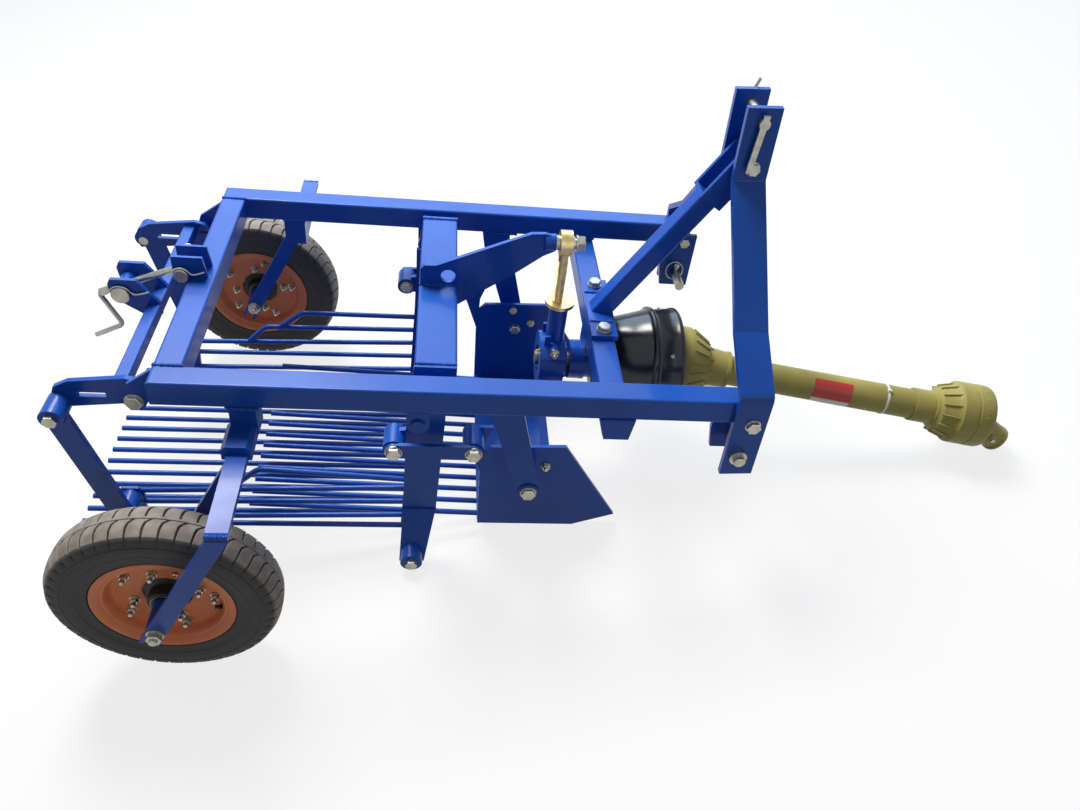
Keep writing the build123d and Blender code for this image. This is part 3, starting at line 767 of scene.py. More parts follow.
def hex_head(across: float, height: float, washer: float, stud: float = 0.0) -> Mesh:
    """Make a chamfered hexagon on its washer, pointing along +Z.

    Args:
        across: Its width across the flats.
        height: Its height above the washer.
        washer: The washer's radius.
        stud: How far the bolt's end stands out of it, if it is a nut.

    Returns:
        The mesh, with the washer's upper face at the origin.
    """
    corner, chamfer = across / math.sqrt(3), 1.6
    work = bmesh.new()
    rows = []
    for z, radius in ((0.0, corner), (height - chamfer, corner), (height, corner * 0.86)):
        turns = [math.tau * i / 6 for i in range(6)]
        rows.append([work.verts.new((radius * math.cos(a), radius * math.sin(a), z)) for a in turns])
    for low, high in zip(rows, rows[1:]):
        for i in range(6):
            work.faces.new((low[i], low[(i + 1) % 6], high[(i + 1) % 6], high[i]))
    work.faces.new(rows[-1])
    work.faces.new(rows[0])
    parts = [plain_mesh(work), ring_block(-WASHER, 0.0, washer, (0, 0, 0), UP, 20)]
    if stud:
        radius, end, bevel = across / 3.2, height + stud, 1.5
        tip = [(height, radius), (end, radius), (end + bevel, radius - bevel)]
        parts.append(solid_of(tip, (0, 0, 0), UP, 14))
    return joined(parts)


def fastened(name: str, fasteners: Sequence[Fastener], shape: Mesh, finish: Finish,
             body: str) -> None:
    """Set a fastener on each place of a body, as one piece."""
    points = bpy.data.meshes.new("points")
    points.from_pydata([item.place for item in fasteners], [], [])
    ways = [value for item in fasteners for value in Vector(item.direction).normalized()]
    sizes = [item.size for item in fasteners]
    points.attributes.new("direction", "FLOAT_VECTOR", "POINT").data.foreach_set("vector", ways)
    points.attributes.new("size", "FLOAT", "POINT").data.foreach_set("value", sizes)
    add_piece(name, run_tree(fastener_tree, points, shape, {}), finish, body)


# ---------------------------------------------------------------- welds


@dataclass(frozen=True)
class Seam:
    """A straight weld seam between two places."""

    start: Point
    end: Point


def welded(name: str, seams: Sequence[Seam], body: str, width: float = 4.2, pitch: float = 3.6) -> None:
    """Lay painted weld beads along seams, as one piece."""
    verts = [place for seam in seams for place in (seam.start, seam.end)]
    routes = bpy.data.meshes.new("seams")
    routes.from_pydata(verts, [(2 * i, 2 * i + 1) for i in range(len(seams))], [])
    work = bmesh.new()
    bmesh.ops.create_icosphere(work, subdivisions=2, radius=1.0)
    bmesh.ops.scale(work, vec=(width * 0.62, width, width * 0.8), verts=work.verts)
    mesh = run_tree(weld_tree, routes, plain_mesh(work), {"Pitch": pitch})
    add_piece(name, mesh, Finish.BLUE, body, crease=60.0)


# ---------------------------------------------------------------- wheels


@dataclass
class BoltCircle:
    """A circle of nuts on the wheel's disc, with its first nut's angle on each side of the machine."""

    radius: float
    count: int
    phase: dict[Side, float]


@dataclass
class Wheel:
    """A pneumatic wheel: tyre with moulded tread, split rim with its nuts, hub, sleeves and axle nuts."""

    side: Side
    block_count: int = 46
    tread_radius: float = 205.0
    tread_rows: tuple[tuple[float, float, Pair], ...] = (
        (33.0, 5.0, (39.8, 36.5)), (-0.9, -33.0, (-36.5, -39.8)),
    )
    centre_rib: tuple[Pair, ...] = ((0.9, 7.0), (0.9, 0.6), (1.6, 0.0), (5.2, 0.0), (5.2, 7.0))
    wall_ribs: tuple[Pair, ...] = ((41.2, 174.0), (39.9, 150.0))
    rib_section: tuple[Pair, ...] = ((0.0, -2.0), (1.0, -1.0), (1.0, 1.0), (0.0, 2.0), (-4.0, 0.0))
    # Edge and fade of the tread-top mask that carries the paler tone of wear and painted sunlight.
    wear_edge: float = 36.0
    wear_fade: float = 3.0
    groove: float = 4.4
    groove_taper: float = 1.4
    tread_depth: float = 7.0
    chamfer: float = 1.1
    sharp_groove: tuple[Pair, ...] = (
        (0.0, 9.0), (0.07, 6.5), (0.15, 3.0), (0.3, 0.0), (0.6, -1.6), (1.0, -2.0),
    )
    crown: tuple[Pair, ...] = (
        (0, 205), (12, 204.6), (24, 202.6), (31, 199.4), (34, 196.2), (37, 190), (39.8, 182.2),
    )
    casing: tuple[Pair, ...] = (
        (0, 200.2), (12, 200), (24, 198), (33, 192.4), (39, 183), (41.6, 171), (41.8, 160), (39.5, 146),
        (37.2, 136), (37.6, 129), (33.5, 127), (31, 115), (28, 112),
    )
    rim: tuple[Pair, ...] = (
        (29, 111.5), (33, 114), (34.4, 121), (35, 125.2), (36.6, 126), (37, 124), (36.6, 119), (35, 112.5),
        (31, 109), (30, 104.5), (26, 101.5), (17, 99.5), (10, 97.5), (7.6, 95), (7, 92), (7, 48), (5, 45.5),
        (5, 44.5),
    )
    hub: tuple[Pair, ...] = ((0, 44), (5, 44), (7, 40), (9, 31.5), (28.5, 30.5), (31, 28), (31, 13))
    circles: tuple[BoltCircle, ...] = (
        BoltCircle(84.0, 5, {Side.RIGHT: 68.7, Side.LEFT: 78.2}),
        BoltCircle(62.0, 4, {Side.RIGHT: 105.1, Side.LEFT: 97.0}),
    )
    disc_face: float = 7.0
    valve_angle: float = -20.0
    valve_route: tuple[Pair, ...] = ((99.0, 8.0), (97.0, 13.0), (92.0, 16.0), (86.0, 17.0))
    seal_section: tuple[Pair, ...] = ((0.0, 23.2), (0.9, 23.4), (0.9, 24.6), (0.0, 24.8))
    sleeve_radius: float = 19.0
    sleeve_bore: float = 12.6
    sleeve_gap: float = 1.2
    sleeve_ends: Pair = (81.0, -85.0)
    axle_nut_faces: Pair = (93.0, -97.0)
    fine: int = 96

    def place(self, out: float = 0.0) -> Point:
        """Return a place on the wheel's axis, out millimetres from its middle plane."""
        x, y, z = WHEEL_PLACE
        return x, self.side.value * (y + out), z

    def around(self, radius: float, degrees: float, out: float) -> Point:
        """Return a place beside the axis, at an angle from X towards Z."""
        x, y, z = self.place(out)
        angle = math.radians(degrees)
        return x + radius * math.cos(angle), y, z + radius * math.sin(angle)

    def axis(self, away: int = 1) -> Point:
        """Return the direction along the axle, out of the machine or, with -1, into it."""
        return 0.0, float(self.side.value * away), 0.0

    def body(self) -> str:
        """Return the CAD body of the wheel."""
        return f"wheel_{self.side.label}"

    def both_halves(self, half: Sequence[Pair]) -> list[Pair]:
        """Mirror a half profile about the middle plane."""
        return [*half, *[(-along, radius) for along, radius in reversed(half)]]

    def table_at(self, table: Sequence[Pair], key: float) -> float:
        """Read a table of pairs at a key, straight between its rows."""
        for (low, first), (high, second) in zip(table, table[1:]):
            if key <= high:
                return first + (second - first) * max(key - low, 0.0) / (high - low)
        return table[-1][1]

    def tread_block(self, left: float, right: float, shoulders: Sequence[float]) -> Mesh:
        """Build one block of a tread row, between two hooked grooves.

        Args:
            left: The row's end towards the machine's left, from the middle plane.
            right: The row's other end.
            shoulders: More stations, past the row's end, that wrap the block over the shoulder.

        Returns:
            The block, with X outwards from the tread's radius and Z along the axle.
        """
        pitch = math.tau * self.tread_radius / self.block_count
        stations = []
        for share, lag in self.sharp_groove:
            stations.append((left + (right - left) * share, lag, self.groove - self.groove_taper * share))
        first, last = self.sharp_groove[0][1], self.sharp_groove[-1][1]
        ends = [(y, last if y < 0 else first, self.groove) for y in shoulders]
        stations = [*ends, *stations] if shoulders[0] > 0 else [*stations, *ends]
        verts, faces = [], []
        for y, lag, gap in stations:
            top = self.table_at(self.crown, abs(y))
            low, high = lag + gap / 2, lag + pitch - gap / 2
            foot, edge, bevel = top - self.tread_depth, top - self.chamfer, self.chamfer
            section = ((foot, low), (edge, low), (top, low + bevel), (top, (low + high) / 2),
                       (top, high - bevel), (edge, high), (foot, high))
            for radius, forward in section:
                angle = (forward - pitch / 2) / self.tread_radius
                verts.append((radius * math.cos(angle) - self.tread_radius,
                              self.side.value * radius * math.sin(angle), self.side.value * y))
        row = len(section)
        for index in range(len(stations) - 1):
            a, b = index * row, (index + 1) * row
            faces += [(a + i, a + (i + 1) % row, b + (i + 1) % row, b + i) for i in range(row)]
        faces += [tuple(range(row)), tuple(range(len(verts) - row, len(verts)))]
        return mesh_from(verts, faces)

    def mark_wear(self, mesh: Mesh) -> None:
        """Write the tread-top mask: 1 on the tops of the tread and 0 on the casing; it carries the paler tone of
        wear and painted sunlight.
        """
        x, y, z = self.place()

        def faded(depth: float) -> float:
            return max(min(depth / self.wear_fade, 1.0), 0.0)

        values = []
        for vert in mesh.vertices:
            out = abs(vert.co.y - y)
            radius = math.hypot(vert.co.x - x, vert.co.z - z)
            values.append(faded(self.wear_edge - out) * faded(radius - self.table_at(self.casing, out)))
        mesh.attributes.new(WEAR_AND_SUN, "FLOAT", "POINT").data.foreach_set("value", values)

    def make_tyre(self) -> None:
        """Build the casing, its side-wall ribs and its two rows of tread."""
        start, axis = self.place(), self.axis()
        parts = [lathe(self.both_halves(self.casing[1:]), start, axis, self.fine)]
        for row in self.tread_rows:
            block = self.tread_block(*row)
            parts.append(ring_of(block, self.block_count, self.tread_radius, start, axis))
        band = [(self.side.value * y, self.table_at(self.crown, y) - drop) for y, drop in self.centre_rib]
        parts.append(lathe(band, start, axis, self.fine))
        for out, radius in self.wall_ribs:
            for sign in (1, -1):
                rib = [(sign * (out + rise), radius + over) for rise, over in self.rib_section]
                parts.append(lathe(rib, start, axis, self.fine))
        tyre, side = joined(parts), self.side.label
        self.mark_wear(tyre)
        add_piece(f"tyre_tread_{side}", tyre, Finish.TYRE, self.body(), [f"tyre_{side}"])

    def make_rim(self) -> None:
        """Build the pressed split rim with its nuts and its valve."""
        side, body = self.side.label, self.body()
        shell = lathe(self.both_halves(self.rim), self.place(), self.axis(), self.fine)
        add_piece(f"rim_pressing_{side}", shell, Finish.ORANGE, body, [f"rim_{side}"])
        head = hex_head(14.0, 7.0, 9.5, 8.0)
        for label, away in (("outer", 1), ("inner", -1)):
            nuts = []
            for circle in self.circles:
                for index in range(circle.count):
                    angle = circle.phase[self.side] + 360.0 * index / circle.count
                    place = self.around(circle.radius, angle, away * (self.disc_face + WASHER))
                    nuts.append(Fastener(place, self.axis(away)))
            fastened(f"rim_bolts_{label}_{side}", nuts, head, Finish.ZINC, body)
        stem = wire([self.around(radius, self.valve_angle, out) for radius, out in self.valve_route], 4.2)
        add_piece(f"valve_{side}", stem, Finish.GUARD_BLACK, body)

    def make_hub(self) -> None:
        """Build the black hub, the bright rings of its seals and the blue sleeves beside it."""
        start, axis, side, body = self.place(), self.axis(), self.side.label, self.body()
        shell = lathe(self.both_halves(self.hub[1:]), start, axis, 64)
        add_piece(f"hub_shell_{side}", shell, Finish.HUB_BLACK, body, [f"hub_{side}"])
        face = self.hub[-1][0]
        rings, sleeves = [], []
        for sign in (1, -1):
            seal = [(sign * (face + rise), radius) for rise, radius in self.seal_section]
            rings.append(lathe(seal, start, axis, 48))
        add_piece(f"hub_seals_{side}", joined(rings), Finish.BARE, body)
        for end in self.sleeve_ends:
            first = math.copysign(face + self.sleeve_gap, end)
            sleeves.append(ring_block(first, end, self.sleeve_radius, start, axis, 48, self.sleeve_bore))
        add_piece(f"axle_sleeves_{side}", joined(sleeves), Finish.BLUE, "frame")

    def make_axle_nuts(self) -> None:
        """Set the nut on each end of the axle."""
        nuts = [Fastener(self.place(face + away * WASHER), self.axis(away))
                for face, away in zip(self.axle_nut_faces, (1, -1))]
        fastened(f"axle_nuts_{self.side.label}", nuts, hex_head(24.0, 12.0, 15.5, 4.0), Finish.ZINC, "frame")

    def make(self) -> None:
        """Build the whole wheel."""
        self.make_tyre()
        self.make_rim()
        self.make_hub()
        self.make_axle_nuts()


@dataclass
class WheelFork:
    """The wheel's carrier: a post under the beam, a clamp and a folded flat bar with its two legs."""

    side: Side
    post: Pair = (128.0, 174.0)
    post_sides: Pair = (296.0, 340.0)
    post_flare: float = 6.0
    beam_under: float = -50.0
    clamp: Pair = (121.0, 172.0)
    clamp_sides: Pair = (336.0, 400.0)
    clamp_top: float = -86.0
    clamp_bevel: float = 8.0
    clamp_below: float = 4.0
    bar: Pair = (131.0, 167.0)
    bar_top: float = -100.0
    bar_thick: float = 12.0
    legs: Pair = (398.0, 576.0)
    leg_half: float = 16.5
    leg_past: float = 37.0
    slot_half: float = 9.0
    axle_ends: Pair = (386.0, 588.0)
    axle_radius: float = 8.8
    fold: float = 10.0

    def leg_outline(self) -> list[Pair]:
        """Return a leg's XZ outline, with the open slot at its foot."""
        axle = Vector((WHEEL_PLACE[0], WHEEL_PLACE[2]))
        head = Vector((sum(self.bar) / 2, self.bar_top - self.bar_thick))
        down = (axle - head).normalized()
        across = Vector((-down.y, down.x))
        foot = axle + down * self.leg_past
        knee = self.bar_top - self.bar_thick - 2

        def beside(place: Vector, offset: float) -> Pair:
            spot = place + across * offset
            return spot.x, spot.y

        cup = [beside(axle - down * self.slot_half * math.sin(a), self.slot_half * math.cos(a))
               for a in (math.pi * i / 8 for i in range(9))]
        (x0, x1), top, wide, slot = self.bar, self.bar_top, self.leg_half, self.slot_half
        return [(x0, top), (x1, top), (x1, knee), beside(foot, wide), beside(foot, slot), *cup,
                beside(foot, -slot), beside(foot, -wide), (x0, knee)]

    def folded_bar(self) -> Mesh:
        """Build the flat bar over the tyre, with its edge rounded at both folds."""
        inner, outer = (y + away * self.bar_thick / 2 for y, away in zip(self.legs, (-1, 1)))
        top, low, bend = self.bar_top, self.bar_top - self.bar_thick, self.fold
        turn = [math.pi / 2 * i / 5 for i in range(6)]
        outline = [(inner + bend - bend * math.cos(a), top - bend + bend * math.sin(a)) for a in turn]
        outline += [(outer - bend + bend * math.sin(a), top - bend + bend * math.cos(a)) for a in turn]
        outline += [(outer, low), (inner, low)]
        return extruded(outline, self.bar, lambda x, y, z: (x, self.side.value * y, z))

    def sided(self, outline: Sequence[Pair], inner: float, outer: float) -> Mesh:
        """Extrude an XZ outline between two distances from the machine's middle, on this side."""
        return prism(outline, self.side.value * inner, self.side.value * outer)

    def make(self) -> None:
        """Build the whole fork as one piece."""
        (x0, x1), flare = self.post, self.post_flare
        beam, low = self.beam_under, self.bar_top - self.bar_thick
        post = [(x0 - flare, beam), (x1 + flare, beam), (x1, beam - flare), (x1, low), (x0, low),
                (x0, beam - flare)]
        (c0, c1), bevel, top = self.clamp, self.clamp_bevel, self.clamp_top
        floor = low - self.clamp_below
        clamp = [(c0, floor), (c0, top - bevel), (c0 + bevel, top), (c1 - bevel, top), (c1, top - bevel),
                 (c1, floor)]
        parts = [self.sided(post, *self.post_sides), self.sided(clamp, *self.clamp_sides), self.folded_bar()]
        leg = [(x, min(z, self.bar_top - self.fold)) for x, z in self.leg_outline()]
        for y in self.legs:
            parts.append(self.sided(leg, y - self.bar_thick / 2, y + self.bar_thick / 2))
        (x, y, z), s = WHEEL_PLACE, self.side.value
        inner, outer = self.axle_ends
        parts.append(ring_block(inner - y, outer - y, self.axle_radius, (x, s * y, z), (0, s, 0), 32))
        add_piece(f"fork_folded_{self.side.label}", joined(parts), Finish.BLUE, "frame",
                  [f"wheel_fork_{self.side.label}"])


# ---------------------------------------------------------------- drive shaft and its guards


@dataclass
class DriveShaft:
    """The yellow shielded shaft to the tractor, with its ribbed cones, label and tie."""

    start: Vector = field(default_factory=lambda: Vector((1060.0, 0.0, SHAFT_AXIS[2])))
    rib_count: int = 18
    rib_lean: float = -30.5
    outer_rib_lean: float = 16.0
    tube_radius: float = 34.0
    label_at: Pair = (278.0, 366.0)
    label_towards: float = 252.0
    label_arc: float = 104.0
    strip_arc: float = 26.0
    tie_at: float = 447.0
    tie_width: float = 5.0
    outer_joint: float = 650.0
    yoke_droop: float = 29.5
    yoke_rims: Pair = (28.5, 100.0)
    lock_at: float = 68.0

    def direction(self) -> Vector:
        """Return the shaft's direction in the machine frame, read from its two joints."""
        joints = {joint["name"]: Vector(joint["pos_m"]) for joint in frame["joints"]}
        run = joints["pto_yoke_lift"] - joints["pto_yaw"]
        turn = Matrix((MACHINE.forward, MACHINE.left, MACHINE.up))
        return (turn @ run).normalized()

    def turned(self, profile: Sequence[Pair]) -> Mesh:
        """Turn a profile about the shaft."""
        return lathe(profile, self.start, self.direction(), 72)

    def leaning(self, size: Point, round_by: float, degrees: float) -> Mesh:
        """Make a rib's box, leaned along a cone's wall."""
        rib = box_mesh(size, round_by)
        rib.transform(Matrix.Rotation(math.radians(degrees), 4, "Y"))
        return rib

    def ring(self, shape: Mesh, count: int, radius: float, along: float) -> Mesh:
        """Repeat a shape round the shaft, at a distance along it."""
        place = self.start + self.direction() * along
        return ring_of(shape, count, radius, place, self.direction())

    def make_inner_cone(self) -> None:
        """Build the cone beside the machine, with its ribs and lip."""
        cone = self.turned([
            (-44, 77), (-44, 80), (-40, 80.5), (-16, 80), (-12, 78), (28, 54), (31, 52), (34, 46),
            (40, 44), (76, 40), (77, 42), (84, 42), (84, 33.6), (60, 33), (30, 40), (-16, 74),
        ])
        rib = self.leaning((7, 2.6, 46), 0.8, self.rib_lean)
        slot = self.leaning((3, 7.0, 20), 1.0, self.rib_lean)
        count = self.rib_count
        parts = [cone, self.ring(rib, count, 64.5, 10), self.ring(slot, count // 2, 46.2, 36)]
        add_piece("shield_cone_inner", joined(parts), Finish.SHIELD_YELLOW, "pto_shaft", ["pto_inner_cone"])

    def make_tube(self) -> None:
        """Build the tube with its mould lines, label and tie."""
        tube = self.turned([(84, 30), (84, 33.6), (300, 33.6), (302, 34), (514, 34), (514, 30)])
        add_piece("shield_tube", tube, Finish.SHIELD_YELLOW, "pto_shaft", ["pto_tube"])
        red = self.patch(self.label_arc, self.label_towards)
        add_piece("label_red", red, Finish.RED_FILM, "pto_shaft")
        edge = self.label_towards + self.label_arc / 2 - self.strip_arc / 2
        add_piece("label_white", self.patch(self.strip_arc, edge, 0.4), Finish.WHITE_FILM, "pto_shaft")
        axis, low, high = self.direction(), self.tie_at, self.tie_at + self.tie_width
        band = ring_block(low, high, self.tube_radius + 1.3, self.start, axis, 72, self.tube_radius)
        head = box_mesh((6, 7, 8), 1.0)
        head.transform(turning(axis, self.start + axis * (low + 2) + Vector((0, -12, self.tube_radius))))
        add_piece("tie_band", joined([band, head]), Finish.WHITE_FILM, "pto_shaft")

    def patch(self, arc: float, towards: float, lift: float = 0.0) -> Mesh:
        """Make a thin film that lies on the tube, over the label's length.

        Args:
            arc: The angle that it covers round the tube, in degrees.
            towards: The angle of its middle, from straight down by the left to straight up at 180.
            lift: Its distance above the tube, past a film's own.

        Returns:
            The film's mesh, in machine millimetres.
        """
        verts, faces = [], []
        steps = 20
        for radius in (self.tube_radius + 0.1 + lift, self.tube_radius + 0.45 + lift):
            for along in self.label_at:
                for step in range(steps + 1):
                    angle = math.radians(towards - arc / 2 + arc * step / steps)
                    verts.append((radius * math.cos(angle), radius * math.sin(angle), along))
        row = steps + 1
        for step in range(steps):
            a, b = step, step + 1
            faces += [(a, b, row + b, row + a), (2 * row + a, 2 * row + b, 3 * row + b, 3 * row + a),
                      (a, b, 2 * row + b, 2 * row + a), (row + a, row + b, 3 * row + b, 3 * row + a)]
        for step in (0, steps):
            faces.append((step, row + step, 3 * row + step, 2 * row + step))
        mesh = mesh_from(verts, faces)
        axis = self.direction()
        side = Vector((0, 1, 0)).cross(axis).normalized()
        across = axis.cross(side)
        columns = Matrix((side, across, axis)).transposed().to_4x4()
        mesh.transform(Matrix.Translation(self.start) @ columns)
        return mesh

    def make_yoke_lock(self) -> None:
        """Set the rolled ends, the side bosses and the locking button of the tractor's yoke."""
        axis = (Matrix.Rotation(math.radians(self.yoke_droop), 3, "Y") @ self.direction()).normalized()
        joint = self.start + self.direction() * self.outer_joint
        lock = joint + axis * self.lock_at
        ends = [ring_block(a, a + 7, 31.6, joint, axis, 48, 29.0) for a in self.yoke_rims]
        sides = [solid_of([(20, 12.0), (34, 11.0), (36, 9.0)], lock, (0, side.value, 0), 32) for side in Side]
        add_piece("yoke_rims", joined([*ends, *sides]), Finish.YOKE_YELLOW, "pto_yoke")
        button = solid_of([(34, 5.0), (40, 5.0), (41, 4.0)], lock, (0, Side.RIGHT.value, 0), 24)
        add_piece("yoke_button", button, Finish.ZINC, "pto_yoke")

    def make_outer_cone(self) -> None:
        """Build the neck, the ribbed cone and the bell at the tractor's end."""
        bell = self.turned([
            (514, 33), (514, 37), (516, 38), (560, 38), (562, 42), (566, 43), (572, 52), (600, 60), (606, 66),
            (609, 70.4), (616, 71), (640, 71), (641, 69.4), (645, 69.4), (646, 71), (674, 71), (680, 68.6),
            (682, 66), (682, 62), (676, 60), (618, 60), (606, 52), (572, 30), (530, 30),
        ])
        rib = self.leaning((6, 2.8, 40), 0.8, self.outer_rib_lean)
        teeth = box_mesh((3.4, 6.5, 12), 0.8)
        parts = [bell, self.ring(rib, 14, 57.5, 588), self.ring(teeth, 20, 69.6, 662)]
        add_piece("shield_cone_outer", joined(parts), Finish.SHIELD_YELLOW, "pto_shaft", ["pto_outer_cone"])

    def make(self) -> None:
        """Build the whole shaft's shield."""
        self.make_inner_cone()
        self.make_tube()
        self.make_outer_cone()
        self.make_yoke_lock()


@dataclass
class ShaftGuard:
    """The black moulded cone over the input shaft, with its clamp ring and screws."""

    screw_count: int = 4
    screw_x: float = 982.0
    screw_radius: float = 122.0
    screw_size: float = 0.6

    def make(self) -> None:
        """Build the cone and its screws."""
        profile = [
            (828, 24), (828, 58), (832, 64), (858, 92), (861, 95), (905, 106.5), (940, 116), (944, 119),
            (946, 123.4), (950, 124), (954, 123.4), (957, 120), (961, 118.5), (985, 120.5), (998, 121.5),
            (1001, 123.6), (1007, 124), (1010, 122.4), (1010, 117), (956, 114), (861, 90), (834, 60),
            (834, 24),
        ]
        cone = lathe(profile, SHAFT_AXIS, FORWARD, 96)
        add_piece("guard_cone", cone, Finish.GUARD_BLACK, "frame", ["shaft_guard"])
        screws = []
        for index in range(self.screw_count):
            angle = math.tau * (index + 0.5) / self.screw_count
            out = (0.0, math.cos(angle), math.sin(angle))
            place = (self.screw_x, self.screw_radius * out[1], SHAFT_AXIS[2] + self.screw_radius * out[2])
            screws.append(Fastener(place, out, self.screw_size))
        fastened("guard_screws", screws, hex_head(9.0, 3.5, 7.0), Finish.ZINC, "frame")


# ---------------------------------------------------------------- bolts, clips and welds


@dataclass(frozen=True)
class PivotBolt:
    """A pivot's bolt on both sides of the machine, seen as its head outside and its nut inside."""

    name: str
    body: str
    x: float
    z: float
    head_face: float | None = None
    nut_face: float | None = None


@dataclass(frozen=True)
class SpindlePin:
    """The pin through one end of the lift's spindle, with its disc on the machine's right."""

    name: str
    body: str
    x: float
    z: float
    face: float
    radius: float


@dataclass
class Hardware:
    """Bolts, clips and small pins of the frame and of the moving parts."""

    hitch_bolt: Pair = (1071.0, -44.0)
    hitch_faces: Pair = (350.0, 290.0)
    brace_bolt: Pair = (823.0, 81.0)
    brace_faces: Pair = (-40.0, -100.0)
    strap_bolt: Point = (1046.0, 48.0, 318.0)
    pivots: tuple[PivotBolt, ...] = (
        PivotBolt("share_pivot", "frame", 678, -292, 306.0),
        PivotBolt("share_pivot_nut", "share", 678, -292, None, 242.0),
        PivotBolt("lift_pivot", "frame", -45, -84, 292.0),
        PivotBolt("link_rear", "rocker", 408, -184, 306.3, 247.0),
        PivotBolt("link_front", "share", 561, -184, 306.3, 242.0),
        PivotBolt("sieve_rear", "sieve", -120, -383, 318.3),
    )
    arm_eye: Point = (0.0, 0.0, 110.0)
    arm_head: float = 755.0
    arm_washers: tuple[float, ...] = (712.4, 716.2, 744.4)
    arm_washer_thick: float = 3.4
    collars: tuple[tuple[float, float, float], ...] = ((775, 801, 43), (764, 768, 36))
    collar_bore: float = 16.2
    paint_thick: float = 0.3
    share_bolts: tuple[Pair, ...] = ((669, -235), (716, -271))
    share_faces: Pair = (250.0, 242.0)
    linchpin: Point = (1062.0, 274.0, -122.0)
    spindle_pins: tuple[SpindlePin, ...] = (
        SpindlePin("front", "lift_spindle", -10, 10, -30, 13.8),
        SpindlePin("rear", "lift_frame", -130, -40, -34, 17.5),
    )
    clamp_nut: Point = (735.5, 43.0, -137.0)
    boss_from: float = 20.0
    nipple: Point = (706, -30, -140)
    rod_x: float = 732.0

    def each_side(self, face: Point, out: bool = True, size: float = 1.0) -> list[Fastener]:
        """Return a fastener on each side of the machine, with its washer on a face.

        Args:
            face: A place on the left side's face.
            out: Whether the face looks out of the machine and not into it.
            size: The fastener's size for its kind.

        Returns:
            The right and the left fastener.
        """
        (x, y, z), away = face, 1 if out else -1
        return [Fastener((x, side.value * (y + away * WASHER), z), (0, side.value * away, 0), size)
                for side in Side]

    def make_frame_bolts(self) -> None:
        """Set the hitch bolts, the brace's foot bolts and the bolt of its strap."""
        (x, z), (outer, inner) = self.hitch_bolt, self.hitch_faces
        places = self.each_side((x, outer, z)) + self.each_side((x, inner, z), False, 0.9)
        (x, out), (top, low) = self.brace_bolt, self.brace_faces
        for y in (out, -out):
            places += [Fastener((x, y, top + WASHER), UP), Fastener((x, y, low - WASHER), DOWN, 0.9)]
        places += self.each_side(self.strap_bolt, size=0.92)
        fastened("frame_bolts", places, hex_head(24.0, 10.0, 15.0), Finish.ZINC, "frame")

    def make_pivot_bolts(self) -> None:
        """Set the heads and nuts of the pivots."""
        bolt = hex_head(26.4, 8.0, 17.0)
        for pivot in self.pivots:
            places = []
            if pivot.head_face:
                places += self.each_side((pivot.x, pivot.head_face, pivot.z))
            if pivot.nut_face:
                places += self.each_side((pivot.x, pivot.nut_face, pivot.z), False, 0.85)
            fastened(f"{pivot.name}_bolts", places, bolt, Finish.ZINC, pivot.body)

    def make_arm_bolt(self) -> None:
        """Set the bolt, the washers and the head that hold the rod's eye to the rocker's arm."""
        head = [Fastener((self.arm_head, *self.arm_eye[1:]), FORWARD)]
        fastened("arm_bolt", head, hex_head(30.4, 15.6, 17.5), Finish.ZINC, "rocker")
        rings = [ring_block(x, x + self.arm_washer_thick, 15.0, self.arm_eye, FORWARD, 28, 10.2)
                 for x in self.arm_washers]
        sleeve = ring_block(748, 753, 10.6, self.arm_eye, FORWARD, 24, 9.8)
        add_piece("arm_washers", joined([*rings, sleeve]), Finish.ZINC, "rocker")

    def make_collars(self) -> None:
        """Paint the input shaft's collars."""
        skin = self.paint_thick
        collars = [ring_block(a - skin, b + skin, radius + skin, SHAFT_AXIS, FORWARD, 56, self.collar_bore)
                   for a, b, radius in self.collars]
        add_piece("shaft_collars", joined(collars), Finish.BLUE, "input_shaft")

    def make_share_bolts(self) -> None:
        """Set the bolts of the share's side plates."""
        outer, inner = self.share_faces
        places = []
        for x, z in self.share_bolts:
            places += self.each_side((x, outer, z), True, 0.9) + self.each_side((x, inner, z), False, 0.9)
        fastened("share_bolts", places, hex_head(17.0, 7.0, 11.0, 4.0), Finish.ZINC, "share")

    def ring(self, centre: Point, radius: float, wire_radius: float, tilt: float = 0.25) -> Mesh:
        """Bend a closed ring of wire.

        Args:
            centre: The ring's middle.
            radius: Its radius.
            wire_radius: The wire's radius.
            tilt: Its lean out of the plane across Y, as sideways millimetres for one upwards.

        Returns:
            The ring's mesh.
        """
        x, y, z = centre
        points = [(x + radius * math.cos(a), y + tilt * radius * math.sin(a), z + radius * math.sin(a))
                  for a in (math.tau * i / 16 for i in range(16))]
        return wire(points, wire_radius, ring=True)

    def make_linchpins(self) -> None:
        """Set the linchpin of each hitch pin, with its knob and ring."""
        x, out, z = self.linchpin
        for side in Side:
            y = side.value * out
            pin = wire([(x, y, z + 24), (x, y, z - 20)], 4.2, smooth=False)
            knob = solid_of([(0, 7), (7, 7), (9, 5)], (x, y, z + 17), UP, 16)
            ring = self.ring((x - 4, y - side.value * 2, z + 8), 21.0, 1.9)
            add_piece(f"linchpin_{side.label}", joined([pin, knob, ring]), Finish.ZINC, "frame")

